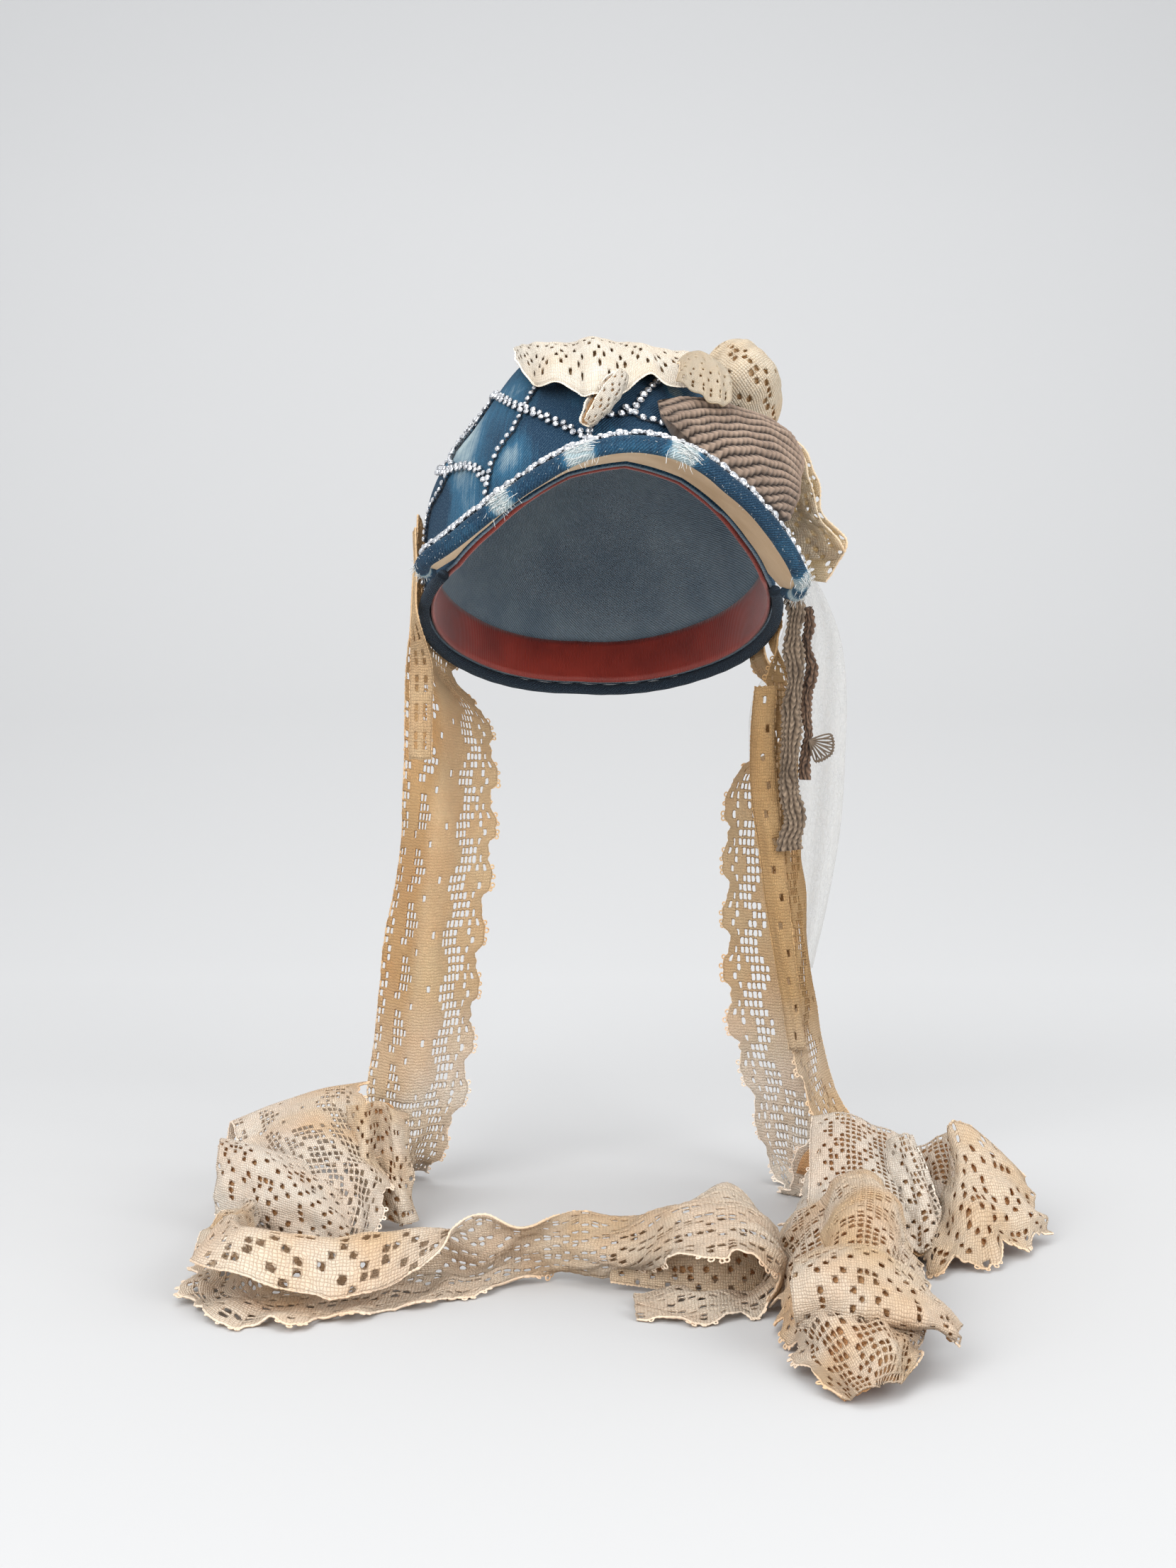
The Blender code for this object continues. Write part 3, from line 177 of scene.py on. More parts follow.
RIGHT_ROUTE = (
    ((78, 66, 255), (85, 56, 255), (94, 44, 255), (104, 48, 255)),
    ((77, 50, 226), (82, 40, 226), (90, 32, 226), (104, 52, 226)),
    ((66, 44, 189), (76, 36, 189), (88, 28, 189), (106, 54, 189)),
    ((65, 42, 148), (78, 34, 148), (91, 26, 148), (106, 54, 148)),
    ((65, 42, 114), (80, 34, 114), (96, 26, 114), (107, 54, 114)),
    ((69, 40, 77), (86, 34, 77), (102, 28, 77), (110, 52, 77)),
    ((79, 40, 44), (94, 34, 44), (108, 30, 42), (116, 46, 42)),
    ((88, 40, 12), (100, 35, 12), (112, 31, 10), (122, 38, 10)),
    ((93, 20, 3), (106, 18, 5), (119, 16, 3), (131, 14, 3)),
    ((94, -8, 4), (110, -10, 3), (126, -14, 4), (139, -24, 3)),
    ((102, -22, 32), (118, -26, 30), (134, -32, 20), (146, -42, 12)),
    ((109, -32, 44), (124, -38, 40), (138, -46, 30), (148, -54, 19)),
    ((101, -56, 24), (118, -62, 24), (134, -66, 20), (147, -72, 12)),
    ((92, -78, 8), (110, -86, 18), (128, -88, 20), (145, -90, 9)),
    ((80, -128, 6), (98, -134, 26), (122, -138, 32), (141, -138, 10)),
    ((74, -186, 5), (90, -196, 26), (114, -200, 38), (138, -196, 10)),
    ((72, -246, 4), (88, -256, 22), (108, -262, 30), (135, -262, 16)),
    ((73, -292, 3), (86, -306, 22), (104, -312, 27), (125, -302, 12)),
    ((83, -340, 3), (92, -350, 8), (105, -346, 13), (118, -328, 8)),
    ((88, -352, 3), (93, -356, 5), (102, -354, 8), (112, -342, 5)),
)
SASH_ROUTE = (
    ((86, 18, 262), (91, 14, 262), (97, 14, 262), (102, 20, 262)),
    ((87, 14, 220), (92, 11, 220), (98, 12, 220), (103, 20, 220)),
    ((93, 12, 150), (97, 10, 150), (102, 13, 150), (107, 22, 150)),
    ((98, 12, 100), (102, 10, 100), (107, 13, 100), (112, 22, 100)),
    ((102, 12, 64), (106, 12, 69), (111, 15, 73), (116, 21, 75)),
    ((116, 6, 30), (119, 8, 36), (123, 11, 41), (128, 16, 42)),
    ((136, -4, 10), (141, -3, 16), (147, -3, 20), (154, 0, 20)),
    ((154, -30, 5), (158, -27, 12), (163, -25, 15), (170, -23, 12)),
    ((147, -94, 3), (154, -80, 10), (162, -66, 15), (170, -54, 20)),
    ((151, -172, 3), (160, -146, 12), (166, -114, 24), (170, -80, 38)),
    ((172, -162, 3), (174, -132, 18), (173, -100, 34), (170, -72, 50)),
    ((194, -134, 3), (195, -112, 15), (192, -90, 30), (187, -72, 44)),
    ((212, -104, 3), (211, -96, 10), (208, -88, 18), (204, -80, 26)),
)
INSERTION_ROUTE = (
    ((-85, -6, 270), (-90, -8, 270), (-96, -6, 270)),
    ((-86, -4, 220), (-91, -6, 220), (-97, -4, 220)),
)
SHEER_ROUTE = (
    ((94.8, 28.8, 324), (99.1, 28.2, 324), (104.1, 26.2, 324), (108.6, 25.4, 324)),
    ((98.5, 36, 306), (105, 36.5, 306), (112, 36, 306), (119, 35, 306)),
    ((94, 58, 280), (106, 57, 281), (118, 55, 282), (129, 54, 282)),
    ((83, 78, 252), (100, 70, 252), (117, 67, 252), (133, 66, 252)),
    ((82, 82, 222), (100, 76, 222), (118, 74, 222), (133, 73, 222)),
    ((84, 82, 190), (101, 78, 190), (118, 77, 190), (132, 78, 190)),
    ((90, 80, 145), (102, 76, 145), (114, 76, 145), (125, 78, 145)),
    ((94, 76, 108), (101, 74, 108), (109, 73, 108), (116, 74, 108)),
)
RUFFLE_SIDE = (
    ((80, 12, 393), (86.5, 6, 396), (93.5, 2, 393)),
    ((84, 20, 380), (94.5, 11, 383), (103.4, 1, 381)),
    ((86.5, 28, 366), (99.5, 17, 367), (110.2, 5, 368)),
    ((87, 31, 350), (103.5, 21, 352), (113.6, 10, 352)),
    ((87.3, 31, 338), (109, 16, 340), (125.3, 2, 336)),
    ((87.5, 31, 328), (108.5, 20, 327), (123.2, 8, 326)),
    ((87.7, 31, 318), (104, 20, 317), (114.6, 10, 316)),
)
# The fold of the sash that hangs in front of it
SASH_FOLD = (
    ((80, 8, 262), (85, 6, 262), (90, 8, 262)),
    ((77.5, 9, 232), (84, 5.5, 232), (90, 8, 232)),
    ((78.5, 9, 205), (85, 5, 205), (91.5, 7, 205)),
    ((83, 8, 172), (88.5, 4.5, 172), (95, 7, 172)),
    ((88, 8, 138), (93, 5, 138), (98.5, 7.5, 138)),
    ((93.5, 8, 104), (98, 6, 104), (103, 8.5, 104)),
    ((98.5, 9, 74), (102, 7, 74), (106, 9.5, 74)),
)
# Folds that lie on the right pile
PILE_ROLL = (
    ((78, -262, 28), (76, -280, 36), (75, -296, 34), (75, -304, 24), (76, -300, 14)),
    ((92, -266, 36), (90, -288, 43), (89, -306, 39), (89, -314, 27), (90, -308, 17)),
    ((107, -272, 38), (105, -294, 44), (104, -312, 40), (104, -320, 28), (105, -314, 19)),
    ((120, -276, 32), (119, -298, 36), (118, -314, 32), (118, -321, 24), (119, -316, 18)),
    ((131, -290, 22), (131, -304, 25), (131, -314, 23), (131, -319, 20), (131, -316, 17)),
    ((138, -304, 15), (138, -308, 16), (138, -312, 16), (138, -315, 15), (138, -314, 14)),
)
PILE_BAND = (
    ((98, -176, 36), (104, -174, 46), (114, -176, 50), (124, -182, 45), (127, -186, 34)),
    ((96, -206, 37), (103, -206, 48), (114, -208, 52), (125, -212, 47), (128, -214, 36)),
    ((92, -238, 36), (99, -238, 47), (110, -240, 51), (121, -242, 46), (125, -244, 35)),
    ((88, -268, 33), (95, -268, 43), (106, -270, 47), (117, -270, 42), (121, -272, 31)),
    ((84, -290, 26), (91, -290, 34), (102, -292, 37), (113, -292, 33), (117, -292, 24)),
)
PILE_FRILL = (
    ((136, -92, 46), (142, -98, 51), (149, -94, 50)),
    ((137, -104, 36), (144, -112, 40), (152, -104, 38)),
    ((138, -114, 26), (147, -122, 28), (156, -112, 26)),
    ((137, -126, 16), (148, -134, 17), (158, -122, 14)),
    ((134, -142, 8), (147, -150, 8), (158, -138, 6)),
)
PILE_PANEL = (
    ((104, -60, 53), (119, -64, 54), (134, -72, 50), (149, -82, 44)),
    ((101, -82, 42), (117, -88, 44), (134, -95, 40), (151, -100, 34)),
    ((99, -102, 30), (116, -108, 33), (134, -113, 29), (152, -114, 23)),
    ((96, -124, 20), (114, -130, 25), (133, -132, 22), (152, -130, 13)),
)
PILE_RECESS = (
    ((146, -60, 40), (156, -56, 36), (165, -60, 43), (171, -70, 47)),
    ((148, -78, 28), (156, -72, 26), (165, -78, 33), (172, -90, 35)),
    ((150, -98, 16), (157, -92, 14), (165, -100, 19), (172, -112, 22)),
    ((150, -122, 6), (157, -116, 5), (165, -126, 6), (171, -136, 8)),
)
# The inner side of the strip's last loop, from the floor up
STRIP_INNER = (
    ((4, -190, 4), (4, -186, 14), (4, -182, 23)),
    ((22, -196, 3), (22, -192, 16), (22, -186, 27)),
    ((40, -204, 3), (40, -199, 18), (40, -191, 31)),
    ((58, -206, 3), (58, -200, 18), (58, -191, 31)),
    ((72, -200, 4), (73, -196, 11), (73, -190, 18)),
)
# Folds of the left heap
HEAP_FRONT = (
    ((-184, -60, 40), (-184, -78, 44), (-184, -92, 30), (-184, -96, 12)),
    ((-166, -72, 40), (-166, -92, 43), (-166, -106, 30), (-166, -110, 8)),
    ((-148, -82, 36), (-148, -102, 38), (-148, -117, 24), (-148, -120, 5)),
    ((-130, -94, 28), (-130, -112, 28), (-130, -124, 16), (-130, -127, 4)),
    ((-116, -104, 18), (-116, -118, 17), (-116, -128, 9), (-116, -130, 3)),
)
HEAP_PLEATS = (
    ((-124, -52, 56), (-116, -60, 58), (-110, -50, 58), (-102, -60, 56), (-96, -52, 52)),
    ((-122, -66, 30), (-114, -76, 31), (-107, -64, 31), (-99, -75, 30), (-92, -64, 28)),
    ((-120, -80, 6), (-112, -90, 6), (-105, -77, 6), (-96, -88, 5), (-88, -74, 4)),
)

# columns: front azimuth, front height, back azimuth, back height, extra lift of the front edge
RUFFLE_TOP = (
    (-37.0, 0.431, -142, 0.60, 0.001), (-31.5, 0.345, -148, 0.60, 0.002), (-25.9, 0.283, -155, 0.58, 0.002),
    (-19.0, 0.249, -162, 0.60, 0.003), (-13.4, 0.170, -169, 0.58, 0.006), (-11.3, 0.110, -173, 0.60, 0.009),
    (-8.0, 0.110, -178, 0.58, 0.009), (-3.2, 0.172, 176, 0.60, 0.004), (1.5, 0.250, 170, 0.58, 0.002),
    (8.8, 0.308, 163, 0.58, 0.002), (15.8, 0.279, 156, 0.60, 0.005), (21.3, 0.262, 148, 0.60, 0.008),
    (27.0, 0.262, 140, 0.64, 0.010),
)
# How much shorter the ruffle's front edge is where its rolled flap and its end flap hang
RUFFLE_SHORTER = (0, 0, 0, 0, 0.035, 0.075, 0.075, 0.045, 0, 0, 0, 0.02, 0.04)
# The flap at the ruffle's right end. Columns: azimuth, height share, lift, top edge then hem
LOBE = (
    (16.5, 0.335, 0.0150, 15.0, 0.262, 0.0135), (19.0, 0.362, 0.0175, 18.0, 0.224, 0.0170),
    (22.0, 0.380, 0.0190, 20.8, 0.192, 0.0195), (25.0, 0.388, 0.0200, 23.6, 0.176, 0.0212),
    (28.0, 0.380, 0.0195, 26.4, 0.184, 0.0222), (30.5, 0.356, 0.0170, 29.0, 0.218, 0.0208),
    (32.5, 0.325, 0.0120, 31.0, 0.268, 0.0160),
)
# The rolled flap: azimuth, height share and lift of its tip and root, then its radius, the
# direction that its middle faces in degrees, and the share of a full turn that it goes round
BEAK_TIP = (-11.5, 0.112, 0.0115)
BEAK_ROOT = (-1.5, 0.250, 0.0150)
BEAK_RADIUS = 0.0064
BEAK_FACES = 122.0
BEAK_AROUND = 0.70
# How much the puff's lace is wider than its solid: azimuth moved, spread in azimuth and height
PUFF_LACE = (-9.0, 8.0, 0.012)
# columns: share of the base's spread, share of the rise
PUFF_PROFILE = ((1.0, 0.0), (1.20, 0.30), (1.22, 0.62), (1.0, 0.88), (0.60, 0.98), (0.18, 1.0))

# columns: azimuth, height share and lift of the upper edge, of the lower edge, bulge between
BOW_COLUMNS = (
    (10.4, 0.224, 0.0075, 10.8, 0.175, 0.0075, 0.0000), (19.8, 0.248, 0.0078, 14.8, 0.110, 0.0110, 0.0040),
    (30.2, 0.269, 0.0085, 21.5, 0.065, 0.0130, 0.0060), (40.0, 0.270, 0.0122, 29.0, 0.040, 0.0140, 0.0070),
    (48.0, 0.262, 0.0180, 37.4, 0.022, 0.0147, 0.0070), (55.0, 0.240, 0.0225, 45.6, 0.016, 0.0153, 0.0060),
    (59.2, 0.201, 0.0240, 54.0, 0.020, 0.0164, 0.0040), (60.7, 0.143, 0.0240, 58.2, 0.050, 0.0196, 0.0010),
)
# columns: across, forward, height above the floor, half width, half thickness
TAIL_LONG = (
    (0.0987, -0.006, 0.308, 0.0060, 0.0022), (0.0985, 0.000, 0.262, 0.0060, 0.0022),
    (0.0985, 0.002, 0.215, 0.0055, 0.0022), (0.0985, 0.002, 0.200, 0.0062, 0.0024),
    (0.0985, 0.002, 0.178, 0.0072, 0.0028),
)
TAIL_SHORT = (
    (0.1060, -0.0020, 0.302, 0.0040, 0.0018), (0.1067, 0.0040, 0.262, 0.0034, 0.0018),
    (0.1067, 0.0058, 0.232, 0.0032, 0.0018), (0.1066, 0.0061, 0.214, 0.0036, 0.0022),
)

# Looks only, from here on. Washed and dark places of the crown: azimuth, height share, half
# width in degrees, amount
WASH_SPOTS = (
    (-40.0, 0.095, 5.0, 0.25), (-75.0, 0.10, 7.0, -0.60), (-24.0, 0.30, 8.0, -0.12),
    (-62.0, 0.30, 11.0, 0.42), (-57.0, 0.16, 8.0, 0.32), (-53.0, 0.04, 6.0, 0.14),
    (-75.0, 0.11, 6.0, -0.30), (-83.0, 0.07, 6.0, -0.25), (-70.0, 0.33, 8.0, 0.28),
    (-24.0, 0.18, 9.0, -0.22), (-36.0, 0.12, 6.0, 0.26), (-41.0, 0.04, 6.0, -0.15),
    (-42.0, 0.40, 10.0, 0.26), (12.0, 0.31, 4.0, -0.75), (6.0, 0.255, 4.0, -0.85), (1.0, 0.205, 4.0, -0.80),
    (20.0, 0.33, 5.0, 0.40), (24.0, 0.25, 6.0, 0.10), (5.0, 0.13, 6.0, -0.12), (100.0, 0.45, 18.0, 0.25),
    (125.0, 0.20, 12.0, 0.20), (165.0, 0.35, 18.0, 0.25), (-150.0, 0.50, 18.0, 0.25),
    (-115.0, 0.30, 12.0, 0.15), (150.0, 0.10, 14.0, -0.15), (-170.0, 0.12, 14.0, -0.10),
)
# Bleached frayed places of the visor's edge: share of its length, half length, amount
FRAY_SPOTS = (
    (0.055, 0.022, 0.6), (0.30, 0.018, 0.6), (0.425, 0.020, 0.7), (0.565, 0.020, 0.75), (0.86, 0.02, 0.5),
    (0.93, 0.02, 0.5),
)
# Long loose threads: share of the visor's edge, length in metres
LONG_THREADS = ((0.535, 0.013), (0.545, 0.009), (0.10, 0.006))
# For each front chain: the stones' radius, their pitch and their step to the sides
FRONT_STONES = (
    (0.00165, 0.0027, 0.0011), (0.00155, 0.0040, 0.0002), (0.00155, 0.0036, 0.0003),
    (0.00165, 0.0026, 0.0010), (0.00210, 0.0051, 0.0000), (0.00195, 0.0049, 0.0003),
)
PLAIN_STONES = (0.00160, 0.0037, 0.0003)

# Fineness of the grids
CROWN_FINE = (180, 64)
VISOR_FINE = (160, 22)
BAND_FINE = (180, 9)
RIM_FINE = 200
BINDING_SIDES = 18
CHAIN_FINE = 160
BOW_LONG = 270
BOW_DEEP = 160
TAIL_FINE = 250
TAIL_SIDES = 60
BEAK_FINE = (26, 36)
LOBE_FINE = (48, 32)
TOP_CELLS = (47, 26)
PUFF_CELLS = (44, 17)
SIDE_CELLS = 10
FLOWER_LOOPS = 7
LOOP_FINE = 26
FLOWER_RIM_FINE = 60
SHEER_FINE = (100, 44)

# Sizes that only the looks have, in metres
CROWN_TOP_SHARE = 0.9985
RIM_TUCK = 0.0055
UV_RADIUS = 0.095
WAVE_PITCH = 0.314
TWILL_PITCH = 0.0011
TWILL_TURN = math.radians(52)
SATIN_PITCH = 0.0009
BINDING_HANG = 0.0024
LOOSE_RADIUS = 0.00014
LOOSE_OFFSET = 0.0001
LATTICE_THREAD = 0.00045
THREAD_SEAT = 0.0003
VISOR_STONE_PITCH = 0.0021
VISOR_STONE_SIDES = (0.0016, -0.0014, 0.0002)
CELL_ALONG = 0.0048
SASH_CELL = 0.0042
SIDE_CELL = 0.0038
STRIP_CELL = 0.0036
FOLD_CELL = 0.0034
HILL_LENGTH = 0.022
CRUMPLE_LENGTH = 0.011
CRUMPLE_FADE = 0.04
LACE_HALF = 0.00055
THICK_HALF = 0.0007
CELL_SWELL = 0.00028
UNDER_DROP = 0.0022
TOP_UNDER_DROP = 0.0024
LOBE_UNDER_DROP = 0.0030
UNDER_THICKNESS = 0.0005
CORD_RADIUS = 0.00050
CORD_BEADS = 0.00014
PICOT_CORD = 0.00042
SHEER_FOLD = 0.0012
TOP_HILLS = 0.0032
TOP_CRUMPLES = 0.0006
SIDE_HILLS = 0.0016
LOBE_BELLY = 0.0040
FLOWER_REACH = 0.0132
RIB_DEPTH = 0.0024
BOW_STITCH = 0.0026
TAIL_STITCH = 0.0032
TAIL_RIB_DEPTH = 0.0014

# Shares and counts that only the looks have
HOLE_MID = 0.76
HOLE_CORNER = 0.66
WORN_MID = (0.58, 0.84)
WORN_CORNER = (0.36, 0.66)
CELLS_MISSING = 0.04
CELL_SHOVE = 0.10
CRUMPLE_GAIN = 2.2
GATHERED_TO = 0.42
FRAY_THREADS = 46
FRINGE_THREADS = 60
EDGE_THREADS = 420
GEM_SIDES = 8
GEM_TILT = 0.22
BOW_FOLD = 0.90
RIBS_SHOWN = 15.5

# Heights: the lowest that a lace's middle may lie, and where its holes are worn, its cloth
# crumpled, its pattern denser and an under layer of painted shade shows. Ahead of the next two y an
# under layer shows and the strip's pattern starts. Last the heights where the painted shade on
# what hangs sets in
LACE_BED = FLOOR_Z + LACE / 2 + GAP
WORN_BELOW = FLOOR_Z + 0.058
CRUMPLED_BELOW = FLOOR_Z + 0.055
DENSE_BELOW = FLOOR_Z + 0.048
UNDER_BELOW = FLOOR_Z + 0.062
UNDER_AHEAD = -0.02
STRIP_AHEAD = -0.15
HANGING_SHADE_FROM = FLOOR_Z + 0.078
HANGING_SHADE_TO = FLOOR_Z + 0.130

# The patterns of the lace over one repeat: a row for each row of cells, from the scalloped edge
# to the straight one. An o is an open cell
LACE_REPEAT = (
    "....oooo...........oo...ooo...",
    "..o.oooo..........ooo....oo...",
    ".o.o.oooo........oooo...o.o...",
    "...o..oooo..o.....ooo...ooo...",
    "..o...oooo..........oo...oo...",
    "...o.oooo.......o.......o.o...",
)
FLOOR_REPEAT = (
    "....oooo..o.ooo..o.oo..oo.o...",
    "..o.oooo.oooooo.oo.ooo.oo.o...",
    ".o.o.oooo.o.oooo..oooo.oo.oo..",
    "...oo.oooo.ooooo.o.ooo.oo.o...",
    "..oo..oooo.ooooooooo.oo.ooo...",
    "...o.oooo.ooo..ooo.oo..oo.oo..",
)
STRIP_REPEAT = (
    "..o..oo.o..o..o.o..o..o...o..",
    ".o.o..o..oo..oo..o..oo..o.o..",
    "...o..o..o.o..o..o.o..o..o...",
    ".oo...o.o..o...o...oo..oo.o..",
    "..o..o...oo.o..oo...o...o....",
    ".ooo..o..oo..o..o.o...oo..oo.",
)
ROSETTE_REPEAT = (
    "..o...o...o...",
    ".o..oo.oo..o..",
    "...o..o..o....",
    "o.o..ooo..o.oo",
    "...o..o..o....",
    ".o..oo.oo..o..",
    "..o...o...o...",
    "o...o...o...o.",
    ".oo...o...oo.o",
    "..o..o.o..o...",
    ".oo...o...oo.o",
    "o...o...o...o.",
)
SMALL_REPEAT = (
    "..o...o.",
    ".o.o..o.",
    "..o..o.o",
    ".....oo.",
)
TOP_REPEAT = (
    "..o...o...o.",
    ".o.o.....o.o",
    "..o...o...o.",
    ".....o.o....",
    "o..o..o..o..",
    "..o.o....o..",
    "...o..o.....",
    ".o.....o..o.",
    "....o.o.o...",
)
LOBE_REPEAT = (
    "....o......o....",
    "..o....o.o...oo.",
    "................",
    "....oo.....o....",
    ".o.......o...oo.",
    "................",
)
SIDE_REPEAT = (
    "..o..o..o.",
    ".o.o..o..o",
    "..o..o.o..",
    ".o..o...oo",
    "...o..o.o.",
)
BEAK_REPEAT = (".o..o.", "...o..", "o....o", "..o.o.")
SASH_FOLD_REPEAT = ("......", "..o...", "......", "......", "...o..", "......")
INSERTION_REPEAT = (".o.o.", ".....", ".o.o.")
# How far the edge draws in between the scallops, at each half cell of a repeat, in half cells
SCALLOP_DRAWN = (3.9, 3.6, 3.0, 3.2, 2.4, 1.2, 0.3, 0.0, 0.5, 0.0, 0.4, 2.8)
SCALLOP_COLUMNS = 8
PICOTS_AT = (5, 7, 9, 10)

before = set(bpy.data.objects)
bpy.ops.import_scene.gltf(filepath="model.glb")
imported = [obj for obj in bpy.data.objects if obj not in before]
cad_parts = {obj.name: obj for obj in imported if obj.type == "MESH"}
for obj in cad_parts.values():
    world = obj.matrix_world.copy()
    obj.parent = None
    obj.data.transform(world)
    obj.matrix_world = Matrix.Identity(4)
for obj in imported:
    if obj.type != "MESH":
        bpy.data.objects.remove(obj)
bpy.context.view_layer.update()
scene = bpy.context.scene
pieces = bpy.data.collections.new("looks")
scene.collection.children.link(pieces)


# Shape helpers

def unit(vectors):
    return vectors / np.linalg.norm(vectors, axis=-1, keepdims=True)


def distances(line):
    """How far along a line each of its points is."""
    return np.concatenate([[0], np.cumsum(np.linalg.norm(np.diff(line, axis=0), axis=1))])


def mean_length(grid, axis):
    """The mean length of a grid's lines along one of its two ways."""
    return float(np.linalg.norm(np.diff(grid, axis=axis), axis=2).sum(axis=axis).mean())


def pairs_of(first, second):
    """Two coordinates of each point of a grid, from a column and a row of them."""
    return np.stack(np.broadcast_arrays(first, second), axis=-1)


def smooth_rows(rows, count):
    """Resample rows of points (n, ..., 3) to count rows along a smooth curve of even steps."""
    rows = np.asarray(rows, float)
    flat = rows.reshape(len(rows), -1)
    steps = np.linalg.norm(np.diff(rows, axis=0).reshape(len(rows) - 1, -1, rows.shape[-1]), axis=2)
    knots = np.concatenate([[0.0], np.cumsum(steps.mean(axis=1))])
    slopes = np.gradient(flat, knots, axis=0)
    out = []
    for t in np.linspace(0.0, knots[-1], count):
        i = min(int(np.searchsorted(knots, t, side="right")) - 1, len(knots) - 2)
        span = knots[i + 1] - knots[i]
        s = (t - knots[i]) / span
        out.append(
            (2 * s**3 - 3 * s**2 + 1) * flat[i]
            + (s**3 - 2 * s**2 + s) * span * slopes[i]
            + (3 * s**2 - 2 * s**3) * flat[i + 1]
            + (s**3 - s**2) * span * slopes[i + 1]
        )
    return np.array(out).reshape((count,) + rows.shape[1:])


def sheet_points(sections, along, across):
    """A grid of points (along + 1, across + 1) through sections, each a row of rail points."""
    widened = np.array([smooth_rows(section, across + 1) for section in sections])
    return smooth_rows(widened, along + 1)


def grid_normals(grid):
    """The unit normal of a grid of points at each of them."""
    return unit(np.cross(np.gradient(grid, axis=0), np.gradient(grid, axis=1)))


def wander(rows, columns, seed, size, coarse=(9, 5)):
    """Slow random hills over a grid, from -size to size."""
    noise = np.random.default_rng(seed).uniform(-size, size, (coarse[0] + 1, coarse[1] + 1, 1))
    return sheet_points(noise, rows - 1, columns - 1)[..., 0]


# The crown's form, shared by everything that is sewn to it

def spots_at(spots, azimuth, height):
    """The sum at a place of soft spots: azimuth, height share, half width in degrees, amount."""
    total = 0.0
    for spot_azimuth, spot_height, spread, amount in spots:
        away = (azimuth - spot_azimuth + 180) % 360 - 180
        distance = math.hypot(away / spread, (height - spot_height) * 90 / spread)
        total += amount * math.exp(-distance * distance)
    return total


def crown_point(azimuth, height, lift=0.0):
    """A point on the crown in the cap's axes: degrees from the front, share of the height."""
    a = math.radians(azimuth)
    t = min(max(height, 0.0), 1.0) * math.pi / 2
    c = math.cos(t)
    s = math.sin(t)
    wide = max(c, 0.0) ** CROWN_SQUARENESS
    z = CROWN_HEIGHT * (s**CROWN_SQUARENESS if height > 0 else height)
    if height > 0:
        z *= 1 - BACK_SLOPE * max(0.0, -math.cos(a) * wide)
    point = Vector((HALF_WIDTH * math.sin(a) * wide, -HALF_DEPTH * math.cos(a) * wide, z))
    flare = max(c, 0.0) ** (2 - CROWN_SQUARENESS)
    normal = Vector((
        math.sin(a) * flare / HALF_WIDTH,
        -math.cos(a) * flare / HALF_DEPTH,
        s ** (2 - CROWN_SQUARENESS) / CROWN_HEIGHT,
    )).normalized()
    return point + normal * (lift + spots_at(CROWN_DENTS, azimuth, height))


def rim_height(azimuth):
    """The rim's height above the opening's plane at an azimuth."""
    wrapped = (azimuth + 180) % 360 - 180
    angles, heights = zip(*RIM_LINE)
    return float(np.interp(wrapped, angles, heights))


def share_of_height(z):
    """The height share that crown_point needs to reach a height above the opening."""
    if z <= 0:
        return z / CROWN_HEIGHT
    return math.asin((z / CROWN_HEIGHT) ** (1 / CROWN_SQUARENESS)) / (math.pi / 2)


def rim_share(azimuth):
    return share_of_height(rim_height(azimuth))


CAP_SEAT = (
    Matrix.Rotation(math.radians(TURN), 4, "Z")
    @ Matrix.Rotation(math.radians(ROLL), 4, "Y")
    @ Matrix.Rotation(math.radians(-TILT_BACK), 4, "X")
)


def on_cap(azimuth, height, lift):
    """A point beside the crown in the part's axes."""
    return CAP_SEAT @ crown_point(azimuth, height, lift)


def cap_rails(rows):
    return [[on_cap(*rail) for rail in row] for row in rows]


def floor_rails(rows):
    return [[(x / 1000, y / 1000, z / 1000 + FLOOR_Z) for x, y, z in row] for row in rows]


def rail_length(rails):
    """The mean length of a ribbon's rails."""
    return mean_length(sheet_points(rails, 120, 4), 0)


def between(first, second, share):
    """The rails a share of the way from one row to another."""
    return [tuple(np.array(a) * (1 - share) + np.array(b) * share) for a, b in zip(first, second)]


# Mesh helpers

def mesh_from(name, points, quads, uv=None, triangles=()):
    """A smooth mesh of quads and triangles, with texture coordinates per point if given."""
    mesh = bpy.data.meshes.new(name)
    quads = np.asarray(quads, int).reshape(-1, 4)
    triangles = np.asarray(triangles, int).reshape(-1, 3)
    loops = np.concatenate([quads.ravel(), triangles.ravel()])
    used, loops = np.unique(loops, return_inverse=True)
    points = np.asarray(points, float)[used]
    first = 4 * len(quads)
    starts = np.concatenate([np.arange(len(quads)) * 4, first + np.arange(len(triangles)) * 3])
    mesh.vertices.add(len(points))
    mesh.vertices.foreach_set("co", points.ravel())
    mesh.loops.add(len(loops))
    mesh.loops.foreach_set("vertex_index", loops)
    mesh.polygons.add(len(starts))
    mesh.polygons.foreach_set("loop_start", starts)
    mesh.update(calc_edges=True)
    mesh.shade_smooth()
    if uv is not None:
        layer = mesh.uv_layers.new(name="Cloth")
        layer.data.foreach_set("uv", np.asarray(uv, float)[used][loops].ravel())
    return mesh


def join_meshes(name, meshes):
    """One mesh of several, with their texture coordinates."""
    bm = bmesh.new()
    for mesh in meshes:
        bm.from_mesh(mesh)
        bpy.data.meshes.remove(mesh)
    joined = bpy.data.meshes.new(name)
    bm.to_mesh(joined)
    bm.free()
    return joined


def add_values(mesh, name, values):
    """A value for each point of a mesh, or one for all of them."""
    layer = mesh.attributes.new(name, "FLOAT", "POINT")
    layer.data.foreach_set("value", np.array(np.broadcast_to(values, len(mesh.vertices)), float))


